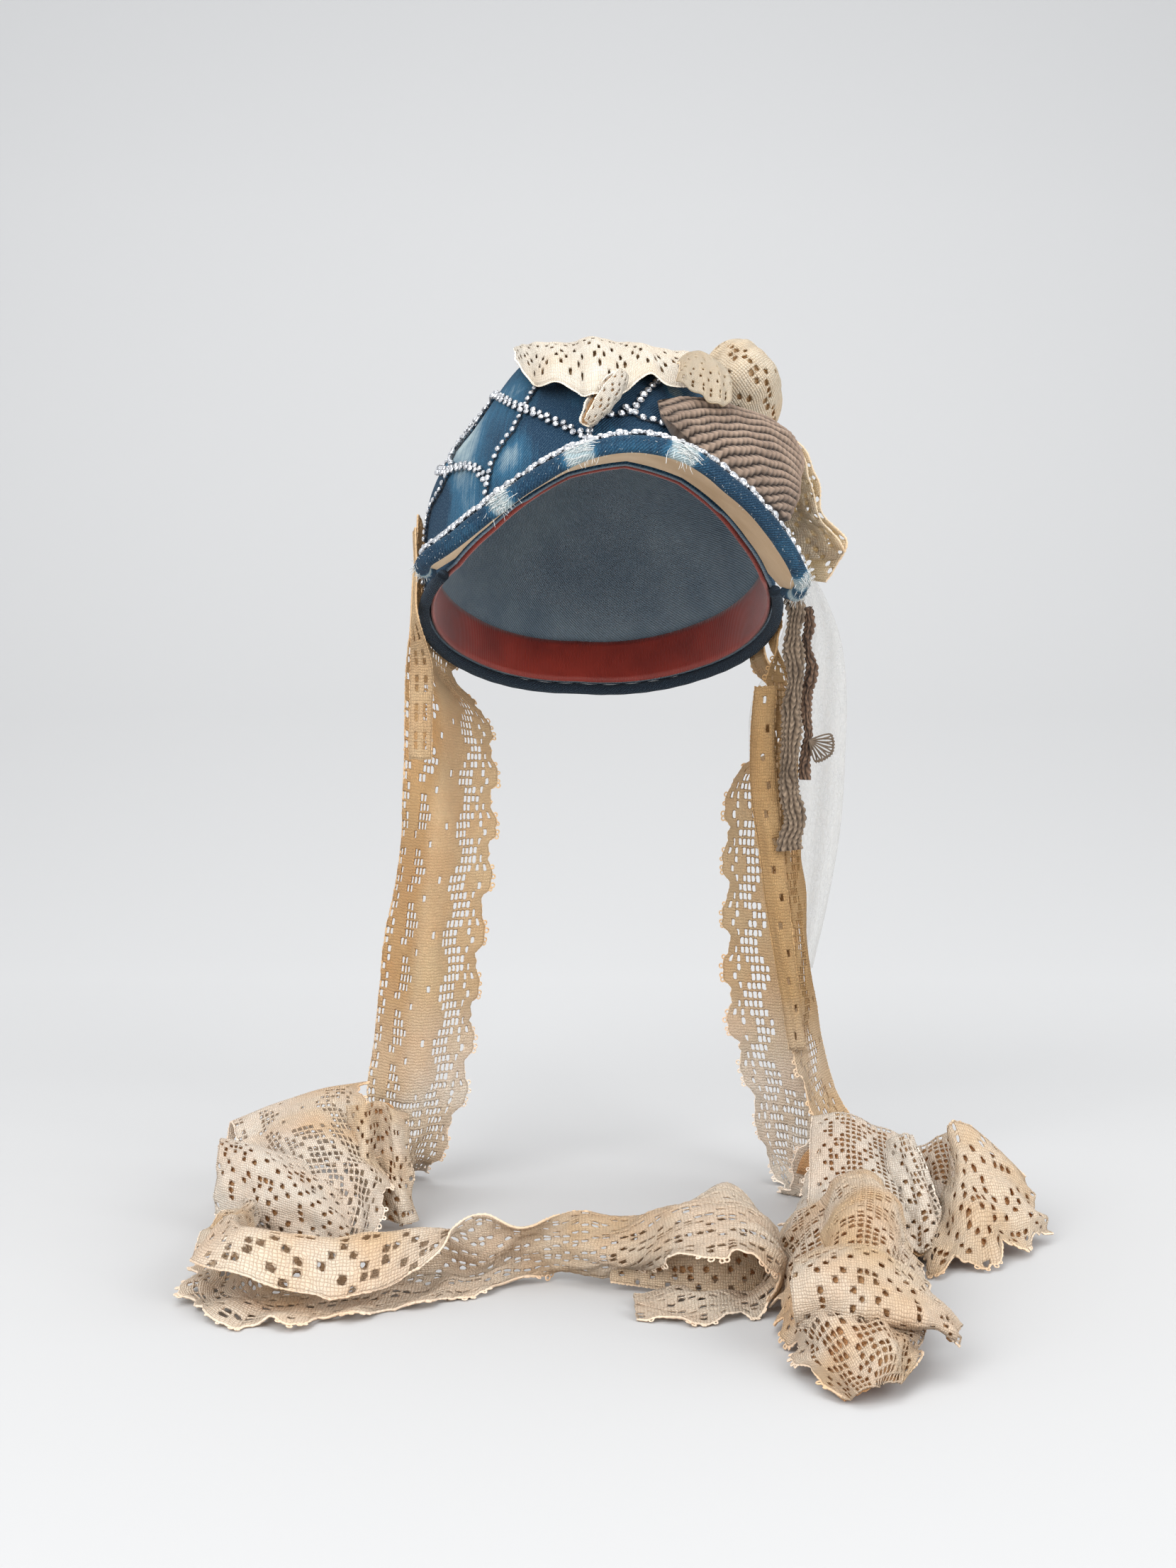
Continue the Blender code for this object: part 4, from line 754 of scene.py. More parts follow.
def place(mesh, material, node=None, seated=False):
    """A piece of the looks, named like its mesh. It rides on the part, in place of a node."""
    mesh.materials.append(material)
    if seated:
        mesh.transform(CAP_SEAT)
    obj = bpy.data.objects.new(mesh.name, mesh)
    pieces.objects.link(obj)
    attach(obj, "root")
    if node:
        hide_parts(node)
    return obj


def grid_quads(rows, columns, ring=False):
    index = np.arange(rows * columns).reshape(rows, columns)
    if ring:
        index = np.vstack([index, index[:1]])
    corners = [index[:-1, :-1], index[1:, :-1], index[1:, 1:], index[:-1, 1:]]
    return np.stack(corners, axis=-1).reshape(-1, 4)


def edge_walls(quads, count):
    """Walls along a sheet's open edges, down to the points that come count later."""
    pairs = np.concatenate([quads[:, [k, (k + 1) % 4]] for k in range(4)])
    pairs = pairs[(pairs < count).all(axis=1)]
    keys = np.sort(pairs, axis=1)
    _, first, counts = np.unique(keys, axis=0, return_index=True, return_counts=True)
    start, end = pairs[first[counts == 1]].T
    return np.stack([end, start, start + count, end + count], axis=-1)


def thick_grid(name, grid, thickness, uv, ring=False):
    """A sheet with its thickness on both sides of a grid, closed along its edges."""
    rows, columns = grid.shape[:2]
    if ring:
        normals = grid_normals(np.concatenate([grid[-1:], grid, grid[:1]]))[1:-1]
    else:
        normals = grid_normals(grid)
    count = rows * columns
    sides = [(grid + normals * thickness / 2), (grid - normals * thickness / 2)]
    upper = grid_quads(rows, columns, ring)
    quads = np.concatenate([upper, upper[:, ::-1] + count, edge_walls(upper, count)])
    return mesh_from(name, np.reshape(sides, (-1, 3)), quads, np.concatenate([uv.reshape(-1, 2)] * 2))


def closed_rings(name, rings, ends, uv, last_uv=0.0, turned=False):
    """A skin over a row of rings that fans in to a point at each of its two ends."""
    rows, size = rings.shape[:2]
    count = rows * size
    last = count - size
    a, b = (1, 0) if turned else (0, 1)
    caps = [(count, k + a, k + b) for k in range(size - 1)]
    caps += [(count + 1, last + k + b, last + k + a) for k in range(size - 1)]
    points = np.concatenate([rings.reshape(-1, 3), ends])
    uv = np.concatenate([uv.reshape(-1, 2), [[0, 0], [last_uv, 0]]])
    return mesh_from(name, points, grid_quads(rows, size), uv, caps)


def tube_mesh(name, line, radii, sides, up):
    """A closed tube through points. It has one radius, one for each point or one for each corner."""
    line = np.asarray(line, float)
    heading = unit(np.gradient(line, axis=0))
    up = np.asarray(up, float)
    up = unit(up - heading * (up * heading).sum(axis=1, keepdims=True))
    side = np.cross(heading, up)
    angles = 2 * np.pi * np.arange(sides + 1) / sides
    radii = np.asarray(radii, float)
    if radii.ndim < 2:
        radii = np.broadcast_to(radii, len(line))[:, None].repeat(sides + 1, axis=1)
    around = side[:, None] * np.cos(angles)[None, :, None] + up[:, None] * np.sin(angles)[None, :, None]
    rings = line[:, None] + around * radii[:, :, None]
    along = distances(line)
    uv = pairs_of(along[:, None], angles[None] * radii.mean())
    return closed_rings(name, rings, [line[0], line[-1]], uv, along[-1])


def filet_mesh(name, grid, opened, seed, half=LACE_HALF):
    """Crocheted cells: open ones with a round rim and closed ones.

    The grid has a point on each corner, edge middle and centre of the cells.
    """
    rows, columns = grid.shape[:2]
    noise = np.random.default_rng(seed)
    grid = grid.copy()
    normals = grid_normals(grid)
    lying = grid[1::2, 1::2, 2:] < WORN_BELOW
    grid[1::2, 1::2] += normals[1::2, 1::2] * CELL_SWELL * lying
    index = np.arange(rows * columns).reshape(rows, columns)
    count = rows * columns
    steps = ((0, 0), (1, 0), (2, 0), (2, 1), (2, 2), (1, 2), (0, 2), (0, 1))
    i, j = np.nonzero(opened)
    ring = np.stack([index[2 * i + a, 2 * j + b] for a, b in steps], axis=1)
    centre_index = index[2 * i + 1, 2 * j + 1]
    flat = grid.reshape(-1, 3)
    centre = flat[centre_index]
    worn = ((centre[:, 2] < WORN_BELOW) | (centre[:, 2] > 0.0))[:, None]
    corner = np.where(worn, noise.uniform(*WORN_CORNER, (len(i), 4)), HOLE_CORNER)
    middle = np.where(worn, noise.uniform(*WORN_MID, (len(i), 4)), HOLE_MID)
    share = np.stack([corner, middle], axis=2).reshape(len(i), 8, 1)
    share = share * (1 + noise.uniform(-0.12, 0.06, (len(i), 1, 1)))
    rim = centre[:, None] + (flat[ring] - centre[:, None]) * share
    lattice = pairs_of(np.arange(rows)[:, None] / 2, np.arange(columns)[None] / 2).reshape(-1, 2)
    centre_uv = lattice[centre_index]
    rim_uv = centre_uv[:, None] + (lattice[ring] - centre_uv[:, None]) * share
    rim_index = 2 * count + np.arange(len(i) * 8).reshape(-1, 8)
    following = np.roll(ring, -1, axis=1)
    rim_next = np.roll(rim_index, -1, axis=1)
    over = np.stack([ring, following, rim_next, rim_index], axis=-1).reshape(-1, 4)
    under = np.stack([ring + count, rim_index, rim_next, following + count], axis=-1).reshape(-1, 4)
    i, j = np.nonzero(~opened)
    solid = []
    for a, b in ((0, 0), (0, 1), (1, 0), (1, 1)):
        r = 2 * i + a
        c = 2 * j + b
        corners = [index[r, c], index[r + 1, c], index[r + 1, c + 1], index[r, c + 1]]
        solid.append(np.stack(corners, axis=-1))
    solid = np.concatenate(solid)
    walls = edge_walls(np.concatenate([over, solid]), count)
    layers = (grid + normals * half, grid - normals * half, rim)
    points = np.concatenate([layer.reshape(-1, 3) for layer in layers])
    uv = np.concatenate([lattice, lattice, rim_uv.reshape(-1, 2)])
    quads = np.concatenate([over, under, solid, solid[:, ::-1] + count, walls])
    return mesh_from(name, points, quads, uv)


def pattern_cells(repeat, rows, columns):
    """Which cells of a lace are open, from its repeat."""
    width = max(len(line) for line in repeat)
    table = np.array([list(line.ljust(width, ".")) for line in repeat])
    return table[np.ix_(np.arange(rows) % len(repeat), np.arange(columns) % width)] == "o"


# Materials

class Look:
    """A material in the making: its colour and relief so far, and the nodes behind them."""

    def __init__(self, name, roughness, **fixed):
        self.material = bpy.data.materials.new(name)
        self.material.use_nodes = True
        self.tree = self.material.node_tree
        self.shader = self.tree.nodes["Principled BSDF"]
        self.colour = None
        self.normal = None
        for key, value in dict(fixed, Roughness=roughness).items():
            self.shader.inputs[key.replace("_", " ")].default_value = value

    def feed(self, socket, value):
        """Give a socket another node's output, a number, a vector or a colour."""
        if isinstance(value, bpy.types.NodeSocket):
            self.tree.links.new(value, socket)
        elif socket.type == "RGBA":
            socket.default_value = (*value, 1.0)
        else:
            socket.default_value = value

    def node(self, kind, *inputs, **named):
        """A shader node: inputs in order or by name (spaces as _), settings in lower case."""
        node = self.tree.nodes.new("ShaderNode" + kind)
        for key, value in named.items():
            if key[0].islower():
                setattr(node, key, value)
        for socket, value in zip(node.inputs, inputs):
            self.feed(socket, value)
        for key, value in named.items():
            if key[0].isupper():
                name = key.replace("_", " ")
                self.feed(next(s for s in node.inputs if s.name == name and s.enabled), value)
        return node

    def math(self, operation, *values):
        return self.node("Math", *values, operation=operation).outputs[0]

    def times(self, first, second):
        return self.math("MULTIPLY", first, second)

    def plus(self, first, second):
        return self.math("ADD", first, second)

    def rest(self, value):
        """What is left of one."""
        return self.math("SUBTRACT", 1.0, value)

    def uv(self, along=1.0, across=1.0, turn=0.0):
        flat = self.node("TexCoord").outputs["UV"]
        scale = (along, across, 1.0)
        return self.node("Mapping", Vector=flat, Scale=scale, Rotation=(0, 0, turn)).outputs[0]

    def here(self):
        return self.node("TexCoord").outputs["Object"]

    def axis(self, vector, name):
        return self.node("SeparateXYZ", vector).outputs[name]

    def attribute(self, name):
        return self.node("Attribute", attribute_name=name).outputs["Fac"]

    def noise(self, where, scale, detail, roughness=0.5, distortion=0.0):
        return self.node(
            "TexNoise", Vector=where, Scale=scale, Detail=detail, Roughness=roughness, Distortion=distortion
        ).outputs[0]

    def ribs(self, pitch, turn=0.0, **settings):
        """Woven ribs at a pitch, from 0 in the grooves to 1 on the ribs."""
        wave = self.node(
            "TexWave", Vector=self.uv(turn=turn), Scale=WAVE_PITCH / pitch,
            wave_type="BANDS", bands_direction="X", **settings,
        )
        return wave.outputs["Color"]

    def cells(self, where, feature, randomness):
        return self.node(
            "TexVoronoi", Vector=where, feature=feature, Scale=1.0, Randomness=randomness
        ).outputs["Distance"]

    def spread(self, value, low, high, top=1.0):
        """How far a value is on the way from low to high, up to top."""
        return self.node("MapRange", Value=value, From_Min=low, From_Max=high, To_Max=top).outputs[0]

    def ramp(self, value, *stops):
        """A colour ramp through stops of position and grey or colour."""
        node = self.node("ValToRGB", value)
        elements = node.color_ramp.elements
        while len(elements) < len(stops):
            elements.new(0.5)
        for element, (position, colour) in zip(elements, stops):
            element.position = position
            element.color = (*(colour if hasattr(colour, "__len__") else [colour] * 3), 1.0)
        return node.outputs[0]

    def tint(self, share, colour, blend="MIX"):
        """Mix a share of another colour into the colour so far."""
        node = self.node("Mix", data_type="RGBA", blend_type=blend)
        for number, value in ((0, share), (6, self.colour), (7, colour)):
            self.feed(node.inputs[number], value)
        self.colour = node.outputs[2]

    def bump(self, height, distance, strength):
        """Add relief on top of the relief so far."""
        node = self.node("Bump", Height=height, Distance=distance, Strength=strength)
        if self.normal is not None:
            self.feed(node.inputs["Normal"], self.normal)
        self.normal = node.outputs[0]

    def mixed(self, share, first, second):
        return self.node("MixShader", share, first, second).outputs[0]

    def done(self, surface=None):
        """The material with its colour, its relief and another surface than the shader's, if any."""
        self.feed(self.shader.inputs["Base Color"], self.colour)
        if self.normal is not None:
            self.feed(self.shader.inputs["Normal"], self.normal)
        if surface is not None:
            self.feed(self.tree.nodes["Material Output"].inputs[0], surface)
        return self.material


def denim_look(name, dark, mid, light):
    """Washed denim: slow clouds of wash, white weft flecks on the ribs, worn ridges."""
    look = Look(name, 0.92, Sheen_Weight=0.02, Sheen_Roughness=0.5, Specular_IOR_Level=0.25)
    clouds = look.noise(look.here(), 22.0, 5.0, 0.62, 0.4)
    streaks = look.noise(look.uv(520.0, 46.0, TWILL_TURN), 1.0, 4.0, 0.6)
    wash = look.plus(look.math("MULTIPLY_ADD", clouds, 0.75, -0.30), look.attribute("wash"))
    wash = look.plus(wash, look.times(streaks, 0.36))
    look.colour = look.ramp(wash, (0.22, dark), (0.47, mid), (0.80, light))
    ribs = look.ribs(TWILL_PITCH, TWILL_TURN, Distortion=1.2, Detail=2.0, Detail_Scale=2.0)
    flecks = look.ramp(look.noise(look.uv(1600.0, 1600.0), 1.0, 2.0), (0.46, 0.0), (0.66, 1.0))
    look.tint(look.times(flecks, 0.15), (0.28, 0.46, 0.58))
    look.tint(look.times(look.rest(ribs), 0.46), tuple(c * 0.35 for c in dark))
    reverse = look.ramp(clouds, (0.3, (0.17, 0.23, 0.29)), (0.7, (0.30, 0.37, 0.42)))
    look.tint(look.attribute("inside"), reverse)
    look.bump(look.noise(look.here(), 60.0, 3.0, 0.55), 0.0022, 0.55)
    look.bump(ribs, 0.00045, 0.9)
    return look.done()


def add_painted_shade_and_grey(look, clouds, hanging_shade_tint):
    """Paint shade on what hangs above the floor, deeper towards its straight edge; grey what is ahead of the
    cap; paint patches of golden shade at random on what lies on the floor.
    """
    height = look.axis(look.here(), "Z")
    # Painted shade: what hangs above the floor is multiplied darker and more golden.
    hanging_shade = look.spread(look.plus(height, look.times(clouds, 0.05)), HANGING_SHADE_FROM, HANGING_SHADE_TO)
    look.tint(hanging_shade, hanging_shade_tint, "MULTIPLY")
    look.tint(look.spread(look.axis(look.here(), "Y"), -0.12, -0.17), (0.90, 0.85, 0.79), "MULTIPLY")
    # Painted shade: golden patches at random on what lies on the floor stand for its shaded parts.
    shade_patches = look.ramp(look.noise(look.here(), 14.0, 3.0), (0.50, 0.0), (0.66, 1.0))
    look.tint(look.times(shade_patches, look.rest(hanging_shade)), (0.90, 0.76, 0.58), "MULTIPLY")
    # Painted shade: what hangs is darker still on its cells far from the scalloped edge.
    turned = look.spread(look.axis(look.uv(), "Y"), 15.5, 18.5)
    look.tint(look.times(turned, hanging_shade), (0.88, 0.76, 0.60), "MULTIPLY")


def lace_look(name, base, pale, shade_colour, glow, through, hanging_shade_tint=None):
    """Cotton crochet: rows of little stitches with painted shade in their gaps, uneven dye, light shining
    through.
    """
    look = Look(name, 0.9, Sheen_Weight=0.06, Sheen_Roughness=0.5, Specular_IOR_Level=0.2)
    drift = look.node("TexNoise", Vector=look.uv(1.3, 1.3), Scale=1.0, Detail=2.0).outputs["Color"]
    drift = look.node("VectorMath", operation="SCALE", Vector=drift, Scale=0.30).outputs[0]
    where = look.node("VectorMath", look.uv(), drift, operation="ADD").outputs[0]
    rows, posts = (
        look.math("ABSOLUTE", look.math("SINE", look.times(look.axis(where, axis), 3 * math.pi)))
        for axis in "XY"
    )
    knots = look.math("POWER", look.times(rows, posts), 0.40)
    stitches = look.times(knots, look.plus(look.noise(look.uv(9.0, 4.0), 1.0, 3.0, 0.7), 0.45))
    clouds = look.noise(look.here(), 32.0, 4.0, 0.6)
    look.colour = look.ramp(clouds, (0.32, base), (0.62, pale))
    if hanging_shade_tint:
        add_painted_shade_and_grey(look, clouds, hanging_shade_tint)
    # Painted shade: the gaps between the stitches are tinted towards the shade colour.
    look.tint(look.ramp(stitches, (0.10, 0.54), (0.42, 0.14), (0.75, 0.0)), shade_colour)
    look.bump(stitches, 0.0010, 0.9)
    glowing = look.node("BsdfTranslucent", Color=glow, Normal=look.normal)
    return look.done(look.mixed(through, look.shader.outputs[0], glowing.outputs[0]))


def knit_look(name, base, pale, shade_colour):
    """Wool yarn with fine fibres, uneven dye and painted shade in its grooves and holes."""
    look = Look(name, 0.95, Sheen_Weight=0.12, Sheen_Roughness=0.6, Specular_IOR_Level=0.15)
    fibres = look.noise(look.uv(900.0, 3200.0), 1.0, 3.0, 0.7)
    look.colour = look.ramp(look.noise(look.here(), 70.0, 5.0, 0.65), (0.30, base), (0.68, pale))
    look.tint(look.times(look.ramp(fibres, (0.40, 0.0), (0.70, 1.0)), 0.35), pale)
    # Painted shade: the grooves and holes of the knit are tinted towards the shade colour.
    look.tint(look.attribute("groove_shade"), shade_colour)
    look.bump(fibres, 0.0006, 0.7)
    return look.done()


def thread_look(name, dark, pale):
    """Twisted cotton thread, uneven in colour."""
    look = Look(name, 0.9, Sheen_Weight=0.1)
    fibres = look.noise(look.here(), 900.0, 3.0)
    look.colour = look.ramp(fibres, (0.35, dark), (0.65, pale))
    look.bump(fibres, 0.0002, 0.6)
    return look.done()


def satin_look():
    """Rust red woven band: fine cross ribs and a soft shine."""
    look = Look("band_satin", 0.45, Sheen_Weight=0.4, Sheen_Roughness=0.4)
    ribs = look.ribs(SATIN_PITCH, Distortion=0.6)
    clouds = look.noise(look.here(), 45.0, 4.0)
    look.colour = look.ramp(clouds, (0.3, (0.20, 0.018, 0.010)), (0.7, (0.36, 0.035, 0.018)))
    look.tint(look.times(look.rest(ribs), 0.3), (0.08, 0.006, 0.004))
    look.bump(ribs, 0.0003, 0.6)
    return look.done()


def lining_look():
    """Cream cotton lining: plain fine weave, faint creases, and painted shade that makes it darker and
    yellower towards +X.
    """
    look = Look("visor_lining", 0.85, Sheen_Weight=0.15)
    weave = look.cells(look.uv(1500.0, 1500.0), "F1", 0.3)
    clouds = look.noise(look.here(), 30.0, 5.0, 0.6)
    look.colour = look.ramp(clouds, (0.30, (0.58, 0.40, 0.22)), (0.70, (0.80, 0.63, 0.43)))
    # Painted shade: the lining is multiplied darker and yellower towards +X.
    head_shade = look.spread(look.axis(look.here(), "X"), 0.005, 0.065, 0.8)
    look.tint(head_shade, (0.72, 0.62, 0.48), "MULTIPLY")
    look.tint(look.times(look.ramp(weave, (0.3, 0.0), (0.7, 1.0)), 0.25), (0.36, 0.24, 0.13))
    look.bump(clouds, 0.002, 0.4)
    look.bump(look.rest(weave), 0.0003, 0.5)
    return look.done()


def sheer_look():
    """Thin white voile that lets most light through, with soft creases and a figured net."""
    look = Look("voile", 0.6, Sheen_Weight=0.2)
    threads = look.ramp(look.cells(look.uv(1.1, 1.5), "DISTANCE_TO_EDGE", 0.8), (0.02, 1.0), (0.14, 0.0))
    clouds = look.noise(look.uv(0.5, 1.4), 1.0, 3.0)
    look.colour = look.ramp(clouds, (0.3, (0.62, 0.61, 0.58)), (0.7, (0.78, 0.77, 0.75)))
    look.bump(threads, 0.0006, 0.5)
    glowing = look.node("BsdfTranslucent", Color=(0.86, 0.86, 0.84))
    clear = look.node("BsdfTransparent")
    soft = look.times(look.ramp(clouds, (0.35, 0.0), (0.65, 1.0)), 0.16)
    share = look.plus(look.plus(look.times(threads, 0.10), soft), 0.26)
    cloth = look.mixed(0.5, look.shader.outputs[0], glowing.outputs[0])
    return look.done(look.mixed(share, clear.outputs[0], cloth))


def gem_look():
    """Cut glass over foil: hard facets, each painted a random grey up to near white as painted reflections,
    and slightly blue.
    """
    look = Look("cut_stones", 0.06, Metallic=0.85, Coat_Weight=0.6, Coat_Roughness=0.03)
    stops = ((0.0, (0.25, 0.27, 0.30)), (0.45, (0.72, 0.75, 0.80)), (1.0, (0.98, 0.98, 1.0)))
    look.colour = look.ramp(look.attribute("shade"), *stops)
    return look.done()


def cup_look():
    """Tarnished silver cups."""
    look = Look("stone_cups", 0.3, Metallic=1.0)
    tarnish = look.noise(look.here(), 700.0, 3.0)
    look.colour = look.ramp(tarnish, (0.35, (0.16, 0.16, 0.17)), (0.65, (0.60, 0.61, 0.63)))
    return look.done()


# The cap

def make_crown(material):
    """The crown's cloth with its washed places, outside and inside."""
    segments, rings = CROWN_FINE
    outer = np.zeros((segments + 1, rings + 1, 3))
    inner = np.zeros_like(outer)
    uv = np.zeros((segments + 1, rings + 1, 2))
    wash = np.zeros((segments + 1, rings + 1))
    for i, azimuth in enumerate(np.linspace(-180, 180, segments + 1)):
        low = rim_share(azimuth)
        for j, share in enumerate(np.linspace(0, 1, rings + 1)):
            height = low + (1 - low) * min(share, CROWN_TOP_SHARE) - (0 if j else RIM_TUCK)
            outer[i, j] = crown_point(azimuth, height)
            inner[i, j] = crown_point(azimuth, height, -DENIM)
            uv[i, j] = (math.radians(azimuth) * UV_RADIUS, height * 0.150)
            wash[i, j] = spots_at(WASH_SPOTS, azimuth, height)
    count = wash.size
    upper = grid_quads(segments + 1, rings + 1)
    rim = np.arange(0, count, rings + 1)
    brim = np.stack([rim[:-1] + count, rim[1:] + count, rim[1:], rim[:-1]], axis=-1)
    quads = np.concatenate([upper, upper[:, ::-1] + count, brim])
    points = np.concatenate([outer.reshape(-1, 3), inner.reshape(-1, 3)])
    mesh = mesh_from("crown_cloth", points, quads, np.concatenate([uv.reshape(-1, 2)] * 2))
    add_values(mesh, "wash", np.concatenate([wash.ravel()] * 2))
    add_values(mesh, "inside", np.repeat([0.0, 1.0], count))
    bm = bmesh.new()
    bm.from_mesh(mesh)
    bmesh.ops.remove_doubles(bm, verts=bm.verts, dist=0.00002)
    bm.to_mesh(mesh)
    bm.free()
    place(mesh, material, "crown", True)


def make_sweatband(material):
    inset = -(DENIM + BAND_CLEARANCE + BAND_THICKNESS / 2)
    segments, columns = BAND_FINE
    grid = np.zeros((segments, columns, 3))
    uv = np.zeros((segments, columns, 2))
    for i in range(segments):
        azimuth = 360.0 * i / segments
        low = rim_height(azimuth) - BAND_DROP
        for j in range(columns):
            z = low + BAND_HEIGHT * j / (columns - 1)
            grid[i, j] = crown_point(azimuth, share_of_height(z), inset)
            uv[i, j] = (math.radians(azimuth) * UV_RADIUS, z)
    mesh = thick_grid("band_cloth", grid, BAND_THICKNESS, uv, True)
    place(mesh, material, "sweatband", True)


def make_rim_binding(material):
    points = []
    for azimuth in np.linspace(RIM_ROLL_START, 360 - RIM_ROLL_START, RIM_FINE):
        centre = crown_point(azimuth, rim_share(azimuth), RIM_ROLL_LIFT)
        points.append(centre - Vector((0, 0, RIM_ROLL_RADIUS + 2 * GAP)))
    uneven = np.random.default_rng(5).uniform(0.4, 1, RIM_FINE)
    radii = RIM_ROLL_RADIUS * (0.97 + 0.03 * np.sin(np.arange(RIM_FINE) * 0.9) * uneven)
    mesh = tube_mesh("rim_cloth", points, radii, 14, (0, 0, 1))
    add_values(mesh, "wash", -0.15)
    place(mesh, material, "rim_binding", True)


def visor_rails(count):
    """The visor's seam on the crown and its outer edge, as two rows of count points."""
    inner = []
    for azimuth in VISOR_REACH * (2 * np.arange(count) / (count - 1) - 1):
        seam = crown_point(azimuth, rim_share(azimuth), SEAM_LIFT)
        inner.append(seam + Vector((0, 0, SEAM_RISE)))
    return np.array(inner), smooth_rows(VISOR_EDGE, count)


def inward_steps(inner, outer):
    """Steps from the outer edge towards the seam that go one metre square to the edge."""
    inward = unit(inner - outer)
    along = unit(np.gradient(outer, axis=0))
    slant = np.linalg.norm(np.cross(inward, along), axis=1, keepdims=True)
    return inward / np.maximum(slant, 0.4)


def binding_hang(angle):
    """How much further the rolled edge reaches on its underside, where the cloth is folded in."""
    return BINDING_HANG * np.maximum(0.0, -np.sin(angle)) ** 1.2


def fray_wash(mesh, outer):
    """How bleached each point of the binding is."""
    points = np.array([vert.co[:] for vert in mesh.vertices])
    nearest = np.argmin(((points[:, None] - outer[None]) ** 2).sum(axis=2), axis=1) / (len(outer) - 1)
    wash = np.zeros(len(points))
    for centre, spread, amount in FRAY_SPOTS:
        wash += amount * np.exp(-(((nearest - centre) / spread) ** 4))
    return wash


def make_visor(denim, lining):
    """The visor's three layers. Returns its outer edge, the up direction there and its seam."""
    long_cells, deep_cells = VISOR_FINE
    inner, outer = visor_rails(long_cells + 1)
    edge = outer + inward_steps(inner, outer) * (BINDING_RADIUS + 2 * GAP)
    shares = np.linspace(0, 1, deep_cells + 1)[None, :, None]
    grid = inner[:, None] * (1 - shares) + edge[:, None] * shares
    uv = pairs_of(distances(outer)[:, None], shares[..., 0] * 0.07)
    mesh = thick_grid("visor_cloth", grid, VISOR_BOARD, uv)
    add_values(mesh, "wash", 0.02)
    place(mesh, denim, "visor_board", True)
    up = grid_normals(grid)
    up *= np.sign(up[..., 2].mean())
    below = grid - up * (VISOR_BOARD / 2 + GAP + VISOR_CLOTH / 2)
    below[:, 0] += unit(below[:, -1] - below[:, 0]) * CLOTH_INSET
    mesh = thick_grid("visor_lining", below, VISOR_CLOTH, uv)
    place(mesh, lining, "visor_underside", True)
    uneven = wander(len(outer), BINDING_SIDES + 1, 12, 0.00022, (40, 6))
    uneven[:, -1] = uneven[:, 0]
    angles = 2 * np.pi * np.arange(BINDING_SIDES + 1) / BINDING_SIDES
    radii = BINDING_RADIUS + uneven + binding_hang(angles)
    mesh = tube_mesh("binding_cloth", outer, radii, BINDING_SIDES, up[:, -1])
    add_values(mesh, "wash", fray_wash(mesh, outer))
    place(mesh, denim, "visor_binding", True)
    return outer, up[:, -1], inner


def thread_strip(noise, points, radius):
    """A thin thread through a few points: corners of three sides at each of them."""
    points = np.asarray(points)
    heading = np.gradient(points, axis=0)
    heading /= np.linalg.norm(heading, axis=1, keepdims=True) + 1e-9
    side = np.cross(heading, noise.normal(0, 1, 3))
    side /= np.linalg.norm(side, axis=1, keepdims=True) + 1e-9
    other = np.cross(heading, side)
    angles = (2 * np.pi * np.arange(3) / 3)[:, None]
    return points[:, None] + (side[:, None] * np.cos(angles) + other[:, None] * np.sin(angles)) * radius


def strips_mesh(name, strips):
    """One mesh of many three-sided threads, each a (n, 3, 3) array."""
    quads = []
    caps = []
    start = 0
    for strip in strips:
        index = start + np.arange(len(strip) * 3).reshape(-1, 3)
        following = np.roll(index, -1, axis=1)
        sides = [index[:-1], following[:-1], following[1:], index[1:]]
        quads.append(np.stack(sides, axis=-1).reshape(-1, 4))
        caps += [index[0][::-1], index[-1]]
        start += index.size
    points = np.concatenate(strips).reshape(-1, 3)
    return mesh_from(name, points, np.concatenate(quads), points[:, :2], np.array(caps))


